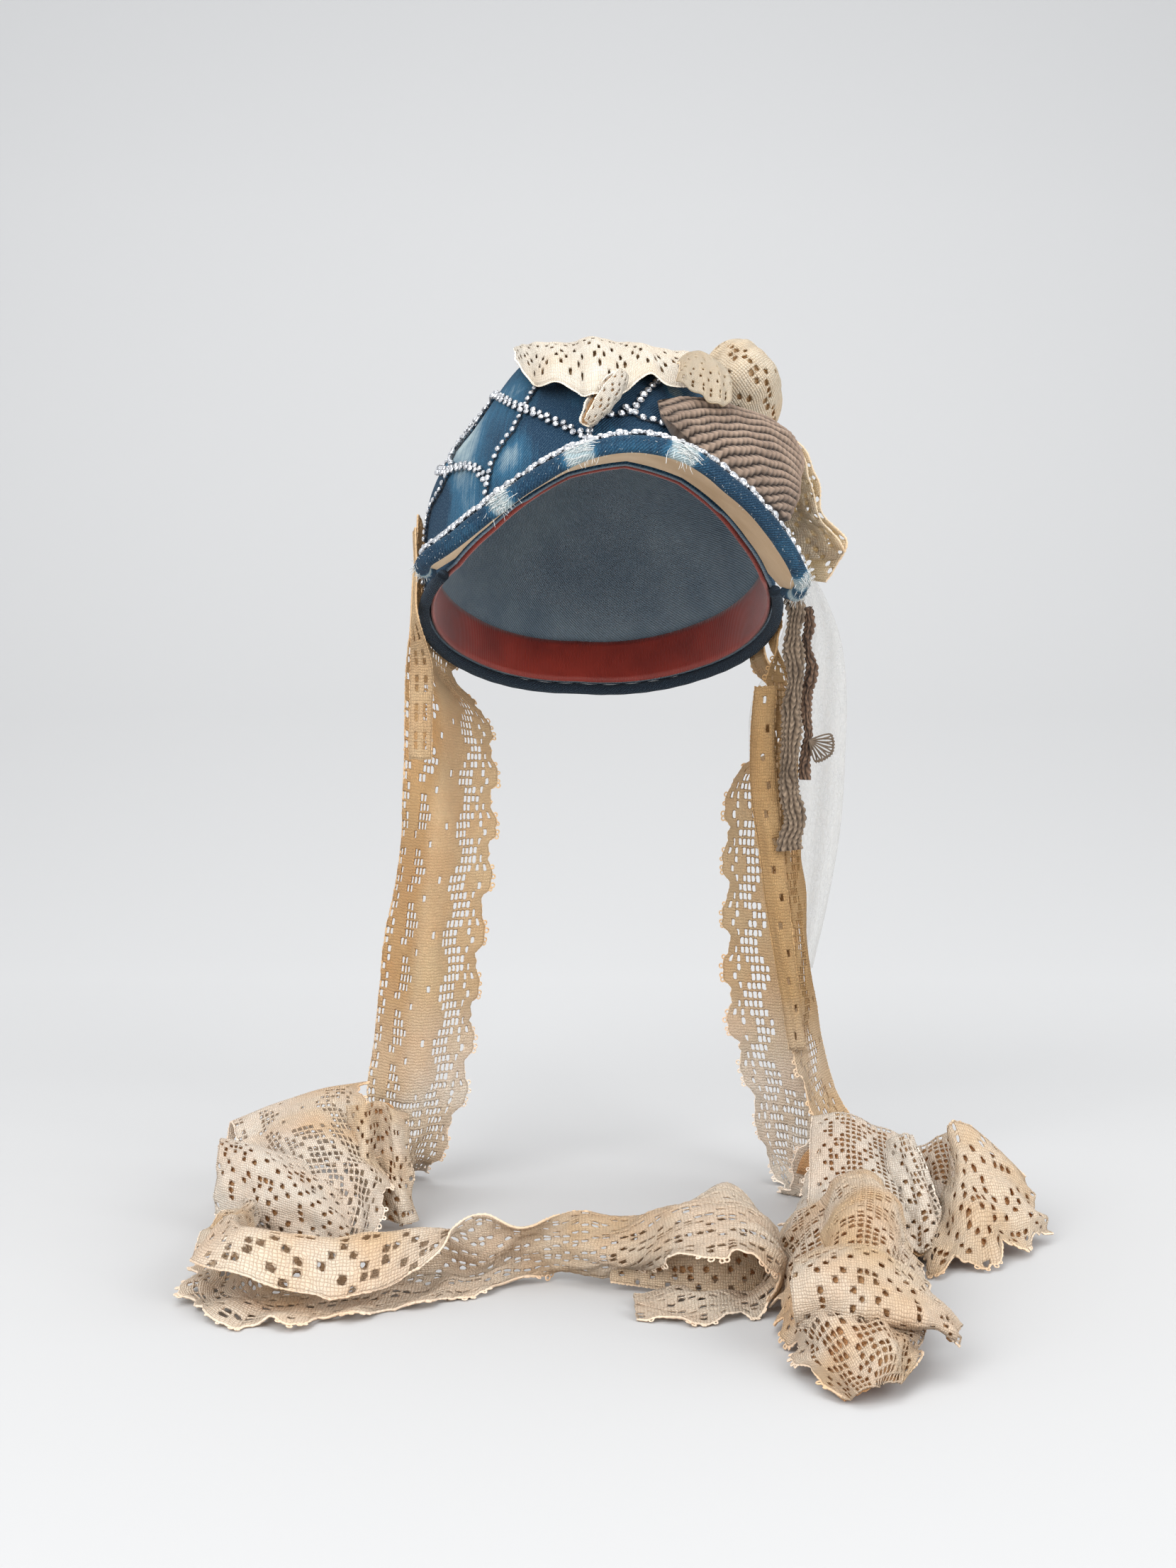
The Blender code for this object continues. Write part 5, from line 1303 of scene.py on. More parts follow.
def make_frays(material, outer, edge_up):
    """Pale loose weft threads along the visor's worn edge, and a short fringe under them."""
    noise = np.random.default_rng(91)
    heading = unit(np.gradient(outer, axis=0))
    side = np.cross(heading, edge_up)
    strips = []

    def at(share):
        spot = np.clip(share * (len(outer) - 1), 0, len(outer) - 1.001)
        low = int(spot)
        part = spot - low
        return [rows[low] * (1 - part) + rows[low + 1] * part for rows in (outer, edge_up, side, heading)]

    def surface(angle):
        return BINDING_RADIUS + binding_hang(angle)

    for centre, spread, _ in FRAY_SPOTS:
        for _ in range(FRAY_THREADS):
            start = centre + noise.uniform(-1.1, 0.5) * spread
            reach = noise.uniform(0.5, 1.3) * spread
            angle = noise.uniform(-0.9, 2.9)
            rise = noise.uniform(0.0002, 0.0011)
            sway = noise.normal(0, 0.12)
            points = []
            for u in np.linspace(0, 1, 7):
                middle, up, out, _ = at(start + reach * u)
                turn = angle + sway * u + 0.1 * math.sin(5 * u + angle)
                away = surface(turn) + LOOSE_OFFSET + rise * math.sin(math.pi * u)
                points.append(middle + (up * math.sin(turn) + out * math.cos(turn)) * away)
            strips.append(thread_strip(noise, points, LOOSE_RADIUS * noise.uniform(0.8, 1.4)))
        for _ in range(FRINGE_THREADS):
            middle, up, out, ahead = at(centre + noise.normal(0, 0.75) * spread)
            angle = noise.uniform(-1.5, 3.6)
            away = up * math.sin(angle) + out * math.cos(angle)
            reach = noise.uniform(0.0008, 0.0032)
            bend = ahead * noise.normal(0, 0.5, 3)[0] + np.array([0, 0, -0.4])
            points = []
            for u in np.linspace(0, 1, 4):
                out_to = surface(angle) - LOOSE_OFFSET + reach * u
                points.append(middle + away * out_to + bend * reach * u * u)
            strips.append(thread_strip(noise, points, LOOSE_RADIUS * 0.7))
    for share, reach in LONG_THREADS:
        middle, up, out, ahead = at(share)
        points = []
        for u in np.linspace(0, 1, 14):
            hanging = np.array([0.0006 * math.sin(7 * u), 0, -reach * u])
            curl = ahead * 0.002 * math.sin(3 * u) + out * 0.0006
            points.append(middle + up * BINDING_RADIUS + curl + hanging)
        strips.append(thread_strip(noise, points, LOOSE_RADIUS))
    for share in np.linspace(0.03, 0.97, EDGE_THREADS):
        middle, up, out, ahead = at(share + noise.normal(0, 0.001))
        angle = noise.uniform(-1.8, 3.6)
        away = up * math.sin(angle) + out * math.cos(angle)
        reach = noise.uniform(0.0003, 0.0010)
        points = []
        for u in np.linspace(0, 1, 3):
            drift = ahead * noise.normal(0, 0.3) * reach * u
            points.append(middle + away * (surface(angle) - LOOSE_OFFSET + reach * u) + drift)
        strips.append(thread_strip(noise, points, LOOSE_RADIUS * 0.6))
    place(strips_mesh("edge_frays", strips), material, seated=True)


# Stones

def gem_meshes(name, centres, normals, headings, radii, seed):
    """Round cut stones, a table with facets round it for each centre, and their cups."""
    noise = np.random.default_rng(seed)
    normals = unit(normals)
    headings = unit(headings - normals * (headings * normals).sum(axis=1, keepdims=True))
    sides = np.cross(normals, headings)
    tilt = noise.uniform(-GEM_TILT, GEM_TILT, (len(centres), 2))
    normals = unit(normals + headings * tilt[:, :1] + sides * tilt[:, 1:])
    sides = unit(np.cross(normals, headings))
    headings = np.cross(sides, normals)
    stones = len(centres)
    spin = noise.uniform(0, 2 * np.pi, stones)
    angles = spin[:, None] + 2 * np.pi * np.arange(GEM_SIDES) / GEM_SIDES

    def ring(radius, height, shift=0.0):
        turned = angles + shift
        out = headings[:, None] * np.cos(turned)[..., None] + sides[:, None] * np.sin(turned)[..., None]
        return centres[:, None] + (out * radius + normals[:, None] * height) * radii[:, None, None]

    def corners(base, *picked):
        return np.concatenate([base + number for number in picked], axis=1)

    top = centres + normals * 0.56 * radii[:, None]
    cut = [ring(0.90, 0.05), ring(0.74, 0.38, np.pi / GEM_SIDES), ring(0.42, 0.56), top[:, None]]
    points = np.concatenate(cut, axis=1)
    base = (np.arange(stones) * points.shape[1])[:, None]
    facets = []
    for k in range(GEM_SIDES):
        n = (k + 1) % GEM_SIDES
        middle_k = GEM_SIDES + k
        middle_n = GEM_SIDES + n
        table_k = GEM_SIDES + middle_k
        table_n = GEM_SIDES + middle_n
        facets.append(corners(base, k, n, middle_k))
        facets.append(corners(base, n, middle_n, middle_k))
        facets.append(corners(base, middle_k, middle_n, table_n))
        facets.append(corners(base, table_k, middle_k, table_n))
        facets.append(corners(base, table_k, table_n, 3 * GEM_SIDES))
    gems = mesh_from(name + "_stones", points.reshape(-1, 3), (), None, np.concatenate(facets))
    gems.shade_flat()
    # Painted reflections: each facet gets a random grey, from dark to near white.
    layer = gems.attributes.new("shade", "FLOAT", "FACE")
    layer.data.foreach_set("value", (noise.uniform(0, 1, (len(facets), stones)) ** 0.8).ravel())
    levels = [ring(0.62, -0.78), ring(0.92, -0.45), ring(1.0, 0.08), ring(0.90, 0.22), ring(0.84, 0.06)]
    cups = np.stack(levels, axis=1)
    size = len(levels) * GEM_SIDES
    base = (np.arange(stones) * size)[:, None]
    quads = []
    for low in range(0, size - GEM_SIDES, GEM_SIDES):
        for k in range(low, low + GEM_SIDES):
            n = low + (k + 1) % GEM_SIDES
            quads.append(corners(base, k, n, n + GEM_SIDES, k + GEM_SIDES))
    return gems, mesh_from(name + "_cups", cups.reshape(-1, 3), np.concatenate(quads))


def set_stones(name, stones, node, looks, seed):
    """Place stones and their cups, from a row of centre, normal, heading and radius for each."""
    gems, cups = gem_meshes(name, *(np.array(column) for column in zip(*stones)), seed)
    place(gems, looks["gems"], node, True)
    place(cups, looks["cups"], None, True)


def walk(line, pitch):
    """The points of a dense line that are nearest to every pitch along it."""
    along = distances(line)
    spots = np.interp(np.arange(pitch / 2, along[-1], pitch), along, np.arange(len(line)))
    return [min(int(round(spot)), len(line) - 1) for spot in spots]


def lattice_routes():
    routes = list(FRONT_CHAINS)
    for starts, line in ((FALLING_STARTS, FALLING_LINE), (RISING_STARTS, RISING_LINE)):
        routes += [[(start + azimuth, height) for azimuth, height in line] for start in starts]
    return routes


def make_chain_stones(looks):
    """Stones in cups along each chain, on a dark thread that lies on the denim."""
    stones = []
    threads = []
    noise = np.random.default_rng(20)
    for number, route in enumerate(lattice_routes()):
        radius, pitch, step = FRONT_STONES[number] if number < len(FRONT_STONES) else PLAIN_STONES
        dense = smooth_rows(route, CHAIN_FINE)
        lift = CHAIN_CLEARANCE + radius * 0.55
        lifts = (lift, lift + 0.002, LATTICE_THREAD + THREAD_SEAT)
        line, above, base = (np.array([crown_point(*spot, up) for spot in dense]) for up in lifts)
        threads.append(tube_mesh("thread", base[::4], LATTICE_THREAD, 6, (above - line)[::4]))
        heading = unit(np.gradient(line, axis=0))
        for count, i in enumerate(walk(line, pitch)):
            normal = (above[i] - line[i]) / 0.002
            side = unit(np.cross(normal, heading[i]))
            away = (step if count % 2 else -step) + noise.normal(0, 0.00015)
            stones.append((line[i] + side * away, normal, heading[i], radius * noise.uniform(0.93, 1.05)))
    set_stones("lattice", stones, "crystal_lattice", looks, 21)
    place(join_meshes("lattice_threads", threads), looks["dark_thread"], seated=True)


def make_visor_stones(looks, outer, edge_up, inner):
    inward = inward_steps(inner, outer)
    rise = VISOR_BOARD / 2 + STONE_ROW_SEAT + BIG_STONE_RADIUS * 0.6
    first = round(len(outer) * STONE_ROW_SKIP / (EDGE_POINTS - 1))
    row = (outer + inward * STONE_ROW_INSET + edge_up * rise)[first:-first]
    ups = edge_up[first:-first]
    outs = -unit(inward[first:-first])
    heading = np.gradient(row, axis=0)
    stones = []
    noise = np.random.default_rng(33)
    for count, i in enumerate(walk(row, VISOR_STONE_PITCH)):
        side = VISOR_STONE_SIDES[count % 3]
        radius = noise.uniform(0.0017, 0.0024)
        centre = row[i] - outs[i] * side + ups[i] * noise.uniform(0.0002, 0.0014)
        stones.append((centre, ups[i] + outs[i] * (0.45 - 300 * side), heading[i], radius))
    set_stones("visor", stones, "crystal_visor_row", looks, 34)


# The lace, the sheer strip and the knitting

def measure_sheet(grid, length=None):
    """Work out a sheet's mean length, if none is given; nothing else is done with it."""
    length = length or mean_length(grid, 0)


def shade_under_sheet(name, grid, material):
    """A thin sheet a little under a lace that shows through its holes, in a darker, more golden colour:
    painted shade for the lace's lower layers seen through the holes.
    """
    grid = grid[::2, ::2]
    uv = pairs_of(np.arange(grid.shape[0])[:, None], np.arange(grid.shape[1])[None]) * 1.0
    # The sheet's material is painted shade seen through the holes.
    obj = place(thick_grid(name, grid, UNDER_THICKNESS, uv), material)
    measure_sheet(grid)


def scalloped(grid, seed):
    """Draw the first columns in between the scallops of a lace edge."""
    rows = len(grid)
    noise = np.random.default_rng(seed)
    picked = np.arange(rows)
    drawn = np.array(SCALLOP_DRAWN)[picked % len(SCALLOP_DRAWN)]
    drawn = drawn * noise.uniform(0.75, 1.1, rows) + noise.uniform(0, 0.25, rows)
    result = grid.copy()
    for j in range(SCALLOP_COLUMNS):
        at = drawn + j * (SCALLOP_COLUMNS - drawn) / SCALLOP_COLUMNS
        low = at.astype(int)
        part = (at - low)[:, None]
        result[:, j] = grid[picked, low] * (1 - part) + grid[picked, low + 1] * part
    return result


def picot(grid, i, normal, noise):
    """A small loop of cord on the lace's edge, at one of its rows."""
    outward = unit(grid[i, 0] - grid[i, 2])
    heading = grid[i + 1, 0] - grid[i - 1, 0]
    heading = unit(heading - outward * (heading @ outward))
    size = noise.uniform(0.0008, 0.0013)
    middle = grid[i, 0] + outward * size * 0.8 + normal * noise.normal(0, 0.0002)
    angles = np.linspace(0, 2 * math.pi, 9)[:, None]
    ring = middle + size * (np.cos(angles) * outward + np.sin(angles) * heading)
    ring[:, 2] = np.maximum(ring[:, 2], LACE_BED)
    return tube_mesh("picot", ring, PICOT_CORD, 4, normal)


def edge_cords(name, grid, material, seed, tips=False):
    """Beaded cords along both edges of a piece of lace, and picot loops on its scallops."""
    noise = np.random.default_rng(seed)
    normals = grid_normals(grid)
    rows = np.arange(len(grid))
    parts = []
    for column in (0, -1):
        line = smooth_rows(grid[:, column], 3 * len(grid) - 2)
        steps = np.linspace(0, len(grid) - 1, len(line))
        up = np.stack([np.interp(steps, rows, normals[:, column, k]) for k in range(3)], axis=-1)
        beads = CORD_RADIUS + CORD_BEADS * np.sin(np.arange(len(line)) * 2 * math.pi / 3.1)
        parts.append(tube_mesh("cord", line, beads + noise.normal(0, 0.00009, len(line)), 5, up))
    if tips:
        at = [i for i in range(2, len(grid) - 2) if i % len(SCALLOP_DRAWN) in PICOTS_AT]
        parts += [picot(grid, i, normals[i, 0], noise) for i in at]
    place(join_meshes(name, parts), material)


def crochet(
    name, rails, across, material, seed, node=None,
    repeat=LACE_REPEAT, on_floor=FLOOR_REPEAT, cell=CELL_ALONG, ripple=0.0012, strip_ahead=None, under=None,
):
    """A ribbon of crocheted cells along its rails, in place of a node if one is named."""
    length = rail_length(rails)
    along = int(round(length / cell))
    size = (2 * along + 1, 2 * across + 1)
    grid = sheet_points(rails, 2 * along, 2 * across)
    hills = wander(*size, seed, ripple, (int(length / HILL_LENGTH), 5))
    if ripple > 0.001:
        crumples = wander(*size, seed + 7, 1.0, (int(length / CRUMPLE_LENGTH), 9))
        low_down = np.clip((CRUMPLED_BELOW - grid[..., 2]) / CRUMPLE_FADE, 0, 1)
        hills += crumples * low_down * (CRUMPLE_GAIN * ripple)
    grid = grid + grid_normals(grid) * hills[..., None]
    noise = np.random.default_rng(seed + 1)
    shove = noise.normal(0, CELL_SHOVE, size + (2,))
    shove[:, 0] *= 0.3
    step_along, step_across = np.gradient(grid, axis=(0, 1))
    grid = grid + step_along * shove[..., :1] + step_across * shove[..., 1:]
    grid[..., 2] = np.maximum(grid[..., 2], LACE_BED)
    opened = pattern_cells(repeat, along, across)
    edged = repeat is LACE_REPEAT
    if edged:
        grid = scalloped(grid, seed + 3)
        lying = grid[1::2, across, 2] < DENSE_BELOW
        opened = np.where(lying[:, None], pattern_cells(on_floor, along, across), opened)
    if strip_ahead is not None:
        ahead = (grid[1::2, across, 1] < strip_ahead) & lying
        opened = np.where(ahead[:, None], pattern_cells(STRIP_REPEAT, along, across), opened)
    opened = opened & (noise.random(opened.shape) >= CELLS_MISSING)
    obj = place(filet_mesh(name, grid, opened, seed + 2), material, node)
    edge_cords(name + "_edges", grid, material, seed + 4, edged)
    # An under sheet in a painted shade colour shows through the holes of lace near the floor.
    if under is not None:
        centre = grid[:, across]
        shown = centre[:, 2] < UNDER_BELOW
        if node:
            shown &= centre[:, 1] < UNDER_AHEAD
        first, last = np.nonzero(shown)[0][[0, -1]]
        facing = grid_normals(grid)[first : last + 1, 3:-3]
        towards = np.sign((facing @ np.array([0.0, -0.6, 0.8])).mean())
        below = grid[first : last + 1, 3:-3] - facing * UNDER_DROP * towards
        below[..., 2] = np.maximum(below[..., 2], FLOOR_Z + 2 * GAP)
        shade_under_sheet(name + "_shade_under", below, under)
    measure_sheet(grid, length)


def gathered_in(row):
    """The rails of a row drawn together towards the last one."""
    last = np.array(row[-1])
    return [tuple(last + (np.array(rail) - last) * GATHERED_TO) for rail in row]


def make_falls(looks):
    """The hanging lace, the strip across the floor and the piles."""
    lace = looks["lace"]
    gold_shade = looks["gold_shade"]
    under = looks["under"]
    left = cap_rails(LEFT_TOP) + floor_rails(LEFT_ROUTE)
    crochet("lace_left_cloth", left, 26, lace, 101, "lace_left", strip_ahead=STRIP_AHEAD)
    right = [gathered_in(row) for row in cap_rails(RIGHT_TOP)] + floor_rails(RIGHT_ROUTE)
    wide = between(right[4], right[5], 0.25)
    right[3:5] = [gathered_in(right[3]), gathered_in(right[4]), wide]
    crochet("lace_right_cloth", right, 24, lace, 111, "lace_right", under=under)
    for name, rows, cells, seed, below, repeat in (
        ("pile_roll_cloth", PILE_ROLL, 17, 141, "lace_right_cloth", ROSETTE_REPEAT),
        ("pile_band_cloth", PILE_BAND, 14, 151, "lace_right_cloth", FLOOR_REPEAT),
        ("pile_frill_cloth", PILE_FRILL, 9, 161, "lace_right_cloth", FLOOR_REPEAT),
        ("pile_panel_cloth", PILE_PANEL, 19, 171, "lace_right_cloth", FLOOR_REPEAT),
        ("pile_recess_cloth", PILE_RECESS, 11, 175, "lace_right_cloth", FLOOR_REPEAT),
        ("heap_front_cloth", HEAP_FRONT, 18, 181, "lace_left_cloth", ROSETTE_REPEAT),
        ("heap_pleats_cloth", HEAP_PLEATS, 16, 191, "lace_left_cloth", ROSETTE_REPEAT),
    ):
        crochet(
            name, floor_rails(rows), cells, lace, seed, repeat=repeat, cell=FOLD_CELL,
            ripple=0.0014, under=under,
        )
    # The strip's inner side takes the darker golden lace as painted shade.
    crochet(
        "strip_inner_cloth", floor_rails(STRIP_INNER), 8, gold_shade, 201,
        repeat=ROSETTE_REPEAT, cell=STRIP_CELL, ripple=0.0008, under=under,
    )
    crochet(
        "lace_sash_cloth", cap_rails(SASH_TOP) + floor_rails(SASH_ROUTE), 14, gold_shade, 121,
        "lace_sash_right", on_floor=ROSETTE_REPEAT, cell=SASH_CELL, under=under,
    )
    crochet(
        "sash_fold_cloth", floor_rails(SASH_FOLD), 5, gold_shade, 125,
        repeat=SASH_FOLD_REPEAT, ripple=0.0008,
    )
    first, second = floor_rails(INSERTION_ROUTE)
    insertion = cap_rails(INSERTION_TOP) + [first, between(first, second, 0.5), between(first, second, 0.9)]
    crochet(
        "insertion_cloth", insertion, 5, lace, 131, "lace_insertion_left",
        repeat=INSERTION_REPEAT, ripple=0.0004,
    )
    make_sheer(looks["sheer"])


def make_sheer(material):
    rails = floor_rails(SHEER_ROUTE)
    along, across = SHEER_FINE
    grid = sheet_points(rails, along, across)
    share = np.linspace(0, 1, across + 1)[None, :]
    down = np.linspace(0, 1, along + 1)[:, None]
    folds = SHEER_FOLD * np.sin(share * 22 + down * 3) * np.minimum(1, down * 5)
    grid = grid + grid_normals(grid) * folds[..., None]
    mesh = thick_grid("sheer_cloth", grid, SHEER * 0.5, pairs_of(down * 45, share * 12))
    obj = place(mesh, material, "sheer_fall")


def over_crown(azimuth, height):
    """A crown point as its share of the width and its angle over the top from the front."""
    wide = math.cos(height * math.pi / 2) ** CROWN_SQUARENESS
    across = math.sin(math.radians(azimuth)) * wide
    forward = math.cos(math.radians(azimuth)) * wide / math.sqrt(1 - across * across)
    return [across, math.acos(forward)]


def crown_angles(across, over):
    """The azimuth and height share of a point that over_crown measured."""
    forward = math.sqrt(1 - across * across) * math.cos(over)
    wide = math.hypot(across, forward)
    height = math.acos(min(1.0, wide ** (1 / CROWN_SQUARENESS))) / (math.pi / 2)
    return math.degrees(math.atan2(across, forward)), height


def make_top_ruffle(material, under):
    across_cells, deep_cells = TOP_CELLS
    columns = []
    for shorter, row in zip(RUFFLE_SHORTER, RUFFLE_TOP):
        front_azimuth, front_height, back_azimuth, back_height, wave = row
        front = over_crown(front_azimuth, front_height + shorter)
        columns.append([*front, *over_crown(back_azimuth, back_height), wave * 0.6])
    columns = smooth_rows(columns, 2 * across_cells + 1)
    shares = np.linspace(0, 1, 2 * deep_cells + 1)
    size = (len(columns), len(shares))
    hills = wander(*size, 51, TOP_HILLS, (8, 4)) + wander(*size, 50, TOP_CRUMPLES, (22, 12))
    grid = np.zeros(size + (3,))
    for i, column in enumerate(columns):
        fold = 0.0013 * math.sin(i * 0.30) + 0.0004 * math.sin(i * 0.72 + 1)
        for j, share in enumerate(shares):
            azimuth, height = crown_angles(*(column[:2] * (1 - share) + column[2:4] * share))
            lift = RUFFLE_LIFT + column[4] * (1 - share) ** 3 + max(hills[i, j], -0.0008)
            lift += max(0.0, fold + 0.0016) * (1 - share) ** 2.5
            grid[i, j] = on_cap(azimuth, height, lift)
    opened = pattern_cells(TOP_REPEAT, across_cells, deep_cells)
    opened[:, :1] = False
    opened &= np.random.default_rng(52).random(opened.shape) > 0.05
    normals = grid_normals(grid)
    below = grid[2:-2, 3:] - normals[2:-2, 3:] * TOP_UNDER_DROP * np.sign(normals[..., 2].mean())
    shade_under_sheet("top_ruffle_shade_under", below, under)
    edge_cords("top_ruffle_edges", grid.transpose(1, 0, 2), material, 54)
    edge_cords("top_ruffle_hem", grid, material, 56)
    mesh = filet_mesh("top_ruffle_cloth", grid, opened, 53)
    obj = place(mesh, material, "lace_ruffle_top")
    measure_sheet(grid)


def make_beak(material, under):
    """The rolled pointed flap at the ruffle's front: a cone that is open towards the front."""
    tip = np.array(on_cap(*BEAK_TIP))
    root = np.array(on_cap(*BEAK_ROOT))
    outward = np.array(on_cap(-5, 0.16, 0.02) - on_cap(-5, 0.16, 0.01))
    axis = root - tip
    side = unit(np.cross(axis, outward))
    outward = unit(np.cross(side, axis))
    along, around = BEAK_FINE
    grid = np.zeros((along + 1, around + 1, 3))
    for i in range(along + 1):
        u = i / along
        bulge = math.sin(math.pi * min(1.0, 0.10 + 0.74 * u)) ** 0.75
        radius = BEAK_RADIUS * bulge + 0.0003 * math.sin(23 * u)
        centre = tip * (1 - u) + root * u + outward * (0.0012 * math.sin(math.pi * u) + 0.0006)
        for k in range(around + 1):
            v = k / around
            angle = math.radians(BEAK_FACES) + (v - 0.5) * 2 * math.pi * BEAK_AROUND
            flare = 1 + 0.18 * abs(2 * v - 1) ** 4
            out = side * math.sin(angle) + outward * math.cos(angle) * 0.72
            grid[i, k] = centre + out * radius * flare
    opened = pattern_cells(BEAK_REPEAT, along // 2, around // 2)
    obj = place(filet_mesh("ruffle_beak", grid, opened, 55, THICK_HALF), material)
    edge_cords("ruffle_beak_edges", grid.transpose(1, 0, 2), material, 59)
    edge_cords("ruffle_beak_rims", grid, material, 60)
    centres = grid[:, :-1].mean(axis=1, keepdims=True)
    inner = centres + (grid - centres) * 0.80
    shade_under_sheet("ruffle_beak_shade_inside", inner, under)
    measure_sheet(grid)


def make_lobe(material, under):
    """The flap that hangs at the ruffle's right end."""
    across, shade_colour = LOBE_FINE
    grid = np.zeros((across + 1, shade_colour + 1, 3))
    for i, column in enumerate(smooth_rows(LOBE, across + 1)):
        for k, t in enumerate(np.linspace(0, 1, shade_colour + 1)):
            azimuth, height, lift = column[:3] * (1 - t) + column[3:] * t
            lift += LOBE_BELLY * math.sin(math.pi * t) + 0.0009 * math.sin(i * 0.55) * t
            grid[i, k] = on_cap(azimuth, height, lift)
    normals = grid_normals(grid)
    below = grid[3:-3, 3:-3] - normals[3:-3, 3:-3] * LOBE_UNDER_DROP * np.sign(-normals[..., 1].mean())
    shade_under_sheet("ruffle_lobe_shade_under", below, under)
    edge_cords("ruffle_lobe_edges", grid.transpose(1, 0, 2), material, 58)
    opened = pattern_cells(LOBE_REPEAT, across // 2, shade_colour // 2)
    obj = place(filet_mesh("ruffle_lobe", grid, opened, 57), material)
    measure_sheet(grid)


def make_puff(material, under):
    """The puffed loop of lace, a little wider than its solid."""
    moved, wider, higher = PUFF_LACE
    base = (PUFF_BASE[0] + moved, PUFF_BASE[1])
    spread = (PUFF_SPREAD[0] + wider, PUFF_SPREAD[1] + higher)
    centre = on_cap(*base, PUFF_SEAT)
    around_cells, up_cells = PUFF_CELLS
    profile = smooth_rows(PUFF_PROFILE, 2 * up_cells + 1)
    grid = np.zeros((2 * around_cells + 1, len(profile), 3))
    for k in range(len(grid)):
        angle = 2 * math.pi * k / (2 * around_cells)
        lobes = 1 + PUFF_LOBE * math.cos(3 * angle)
        azimuth = base[0] + spread[0] * lobes * math.sin(angle)
        height = base[1] + spread[1] * lobes * math.cos(angle)
        spoke = on_cap(azimuth, height, PUFF_SEAT) - centre
        for j, (wide, up) in enumerate(profile):
            ripples = 0.06 * math.sin(5 * angle + 2 * up) + 0.03 * math.sin(13 * angle - 3 * up)
            folds = 1 + ripples * min(1, 3 * up)
            grid[k, j] = centre + spoke * wide * folds + Vector(PUFF_AXIS) * (PUFF_RISE * up)
    opened = pattern_cells(SMALL_REPEAT, around_cells, up_cells)
    opened &= np.random.default_rng(61).random(opened.shape) > 0.15
    obj = place(filet_mesh("puff_cloth", grid, opened, 62), material, "lace_puff")
    heart = grid.reshape(-1, 3).mean(axis=0)
    shade_under_sheet("puff_shade_under", heart + (grid - heart) * 0.93, under)
    measure_sheet(grid)


def make_side_ruffle(material):
    """Two layers of a frilled crocheted edging that hangs beside the visor."""
    rails = floor_rails(RUFFLE_SIDE)
    along = int(rail_length(rails) / SIDE_CELL)
    size = (2 * along + 1, 2 * SIDE_CELLS + 1)
    plain = sheet_points(rails, 2 * along, 2 * SIDE_CELLS)
    normals = grid_normals(plain)
    forward = np.sign(-normals[..., 1:2].mean()) * normals
    outward = np.linspace(0, 1, size[1])[None, :] ** 1.5
    for layer, name, node, shift, frill, rows in (
        (0, "side_ruffle_cloth", "lace_ruffle_side", 0.0, 0.0010, slice(None)),
        (1, "side_ruffle_frill", None, 0.0042, 0.0018, slice(4, -6)),
    ):
        hills = wander(*size, 71 + layer, SIDE_HILLS, (9, 3))
        waves = frill * np.sin(np.arange(size[0])[:, None] * (0.52 - 0.07 * layer)) * outward
        grid = (plain + forward * (hills + waves + shift)[..., None])[rows]
        opened = pattern_cells(SIDE_REPEAT, len(grid) // 2, SIDE_CELLS)
        obj = place(filet_mesh(name, grid, opened, 72 + layer, THICK_HALF), material, node)
        edge_cords(name + "_edges", grid, material, 75 + layer)
        measure_sheet(grid)


def bow_relief(s, t, length):
    """The knit's relief, 0 in its holes to 1 on the ribs, at a share along and down the wedge."""
    flat = min(s / BOW_FOLD, 1.0)
    past = max(0.0, s - BOW_FOLD) / (1 - BOW_FOLD)
    ribs = RIBS_SHOWN * (0.16 + 0.84 * flat**0.95) * (0.10 + 0.90 * t) - 2.2 * past * (1 - 0.5 * t)
    ribs += 0.5 + 0.16 * math.sin(9 * s + 5 * t) + 0.08 * math.sin(31 * s - 13 * t)
    rib = ribs % 1.0
    crest = abs(math.sin(math.pi * rib)) ** 1.25
    run = length * (s * (1.0 - 0.55 * t)) + 0.022 * (1 - t) * (1 - s)
    phase = run / BOW_STITCH + 0.5 * (math.floor(ribs) % 2)
    knots = 0.5 + 0.5 * math.cos(2 * math.pi * (phase + abs(rib - 0.5) * 0.8))
    return crest * (0.62 + 0.38 * knots) + 0.30 * (1 - crest) * knots**2


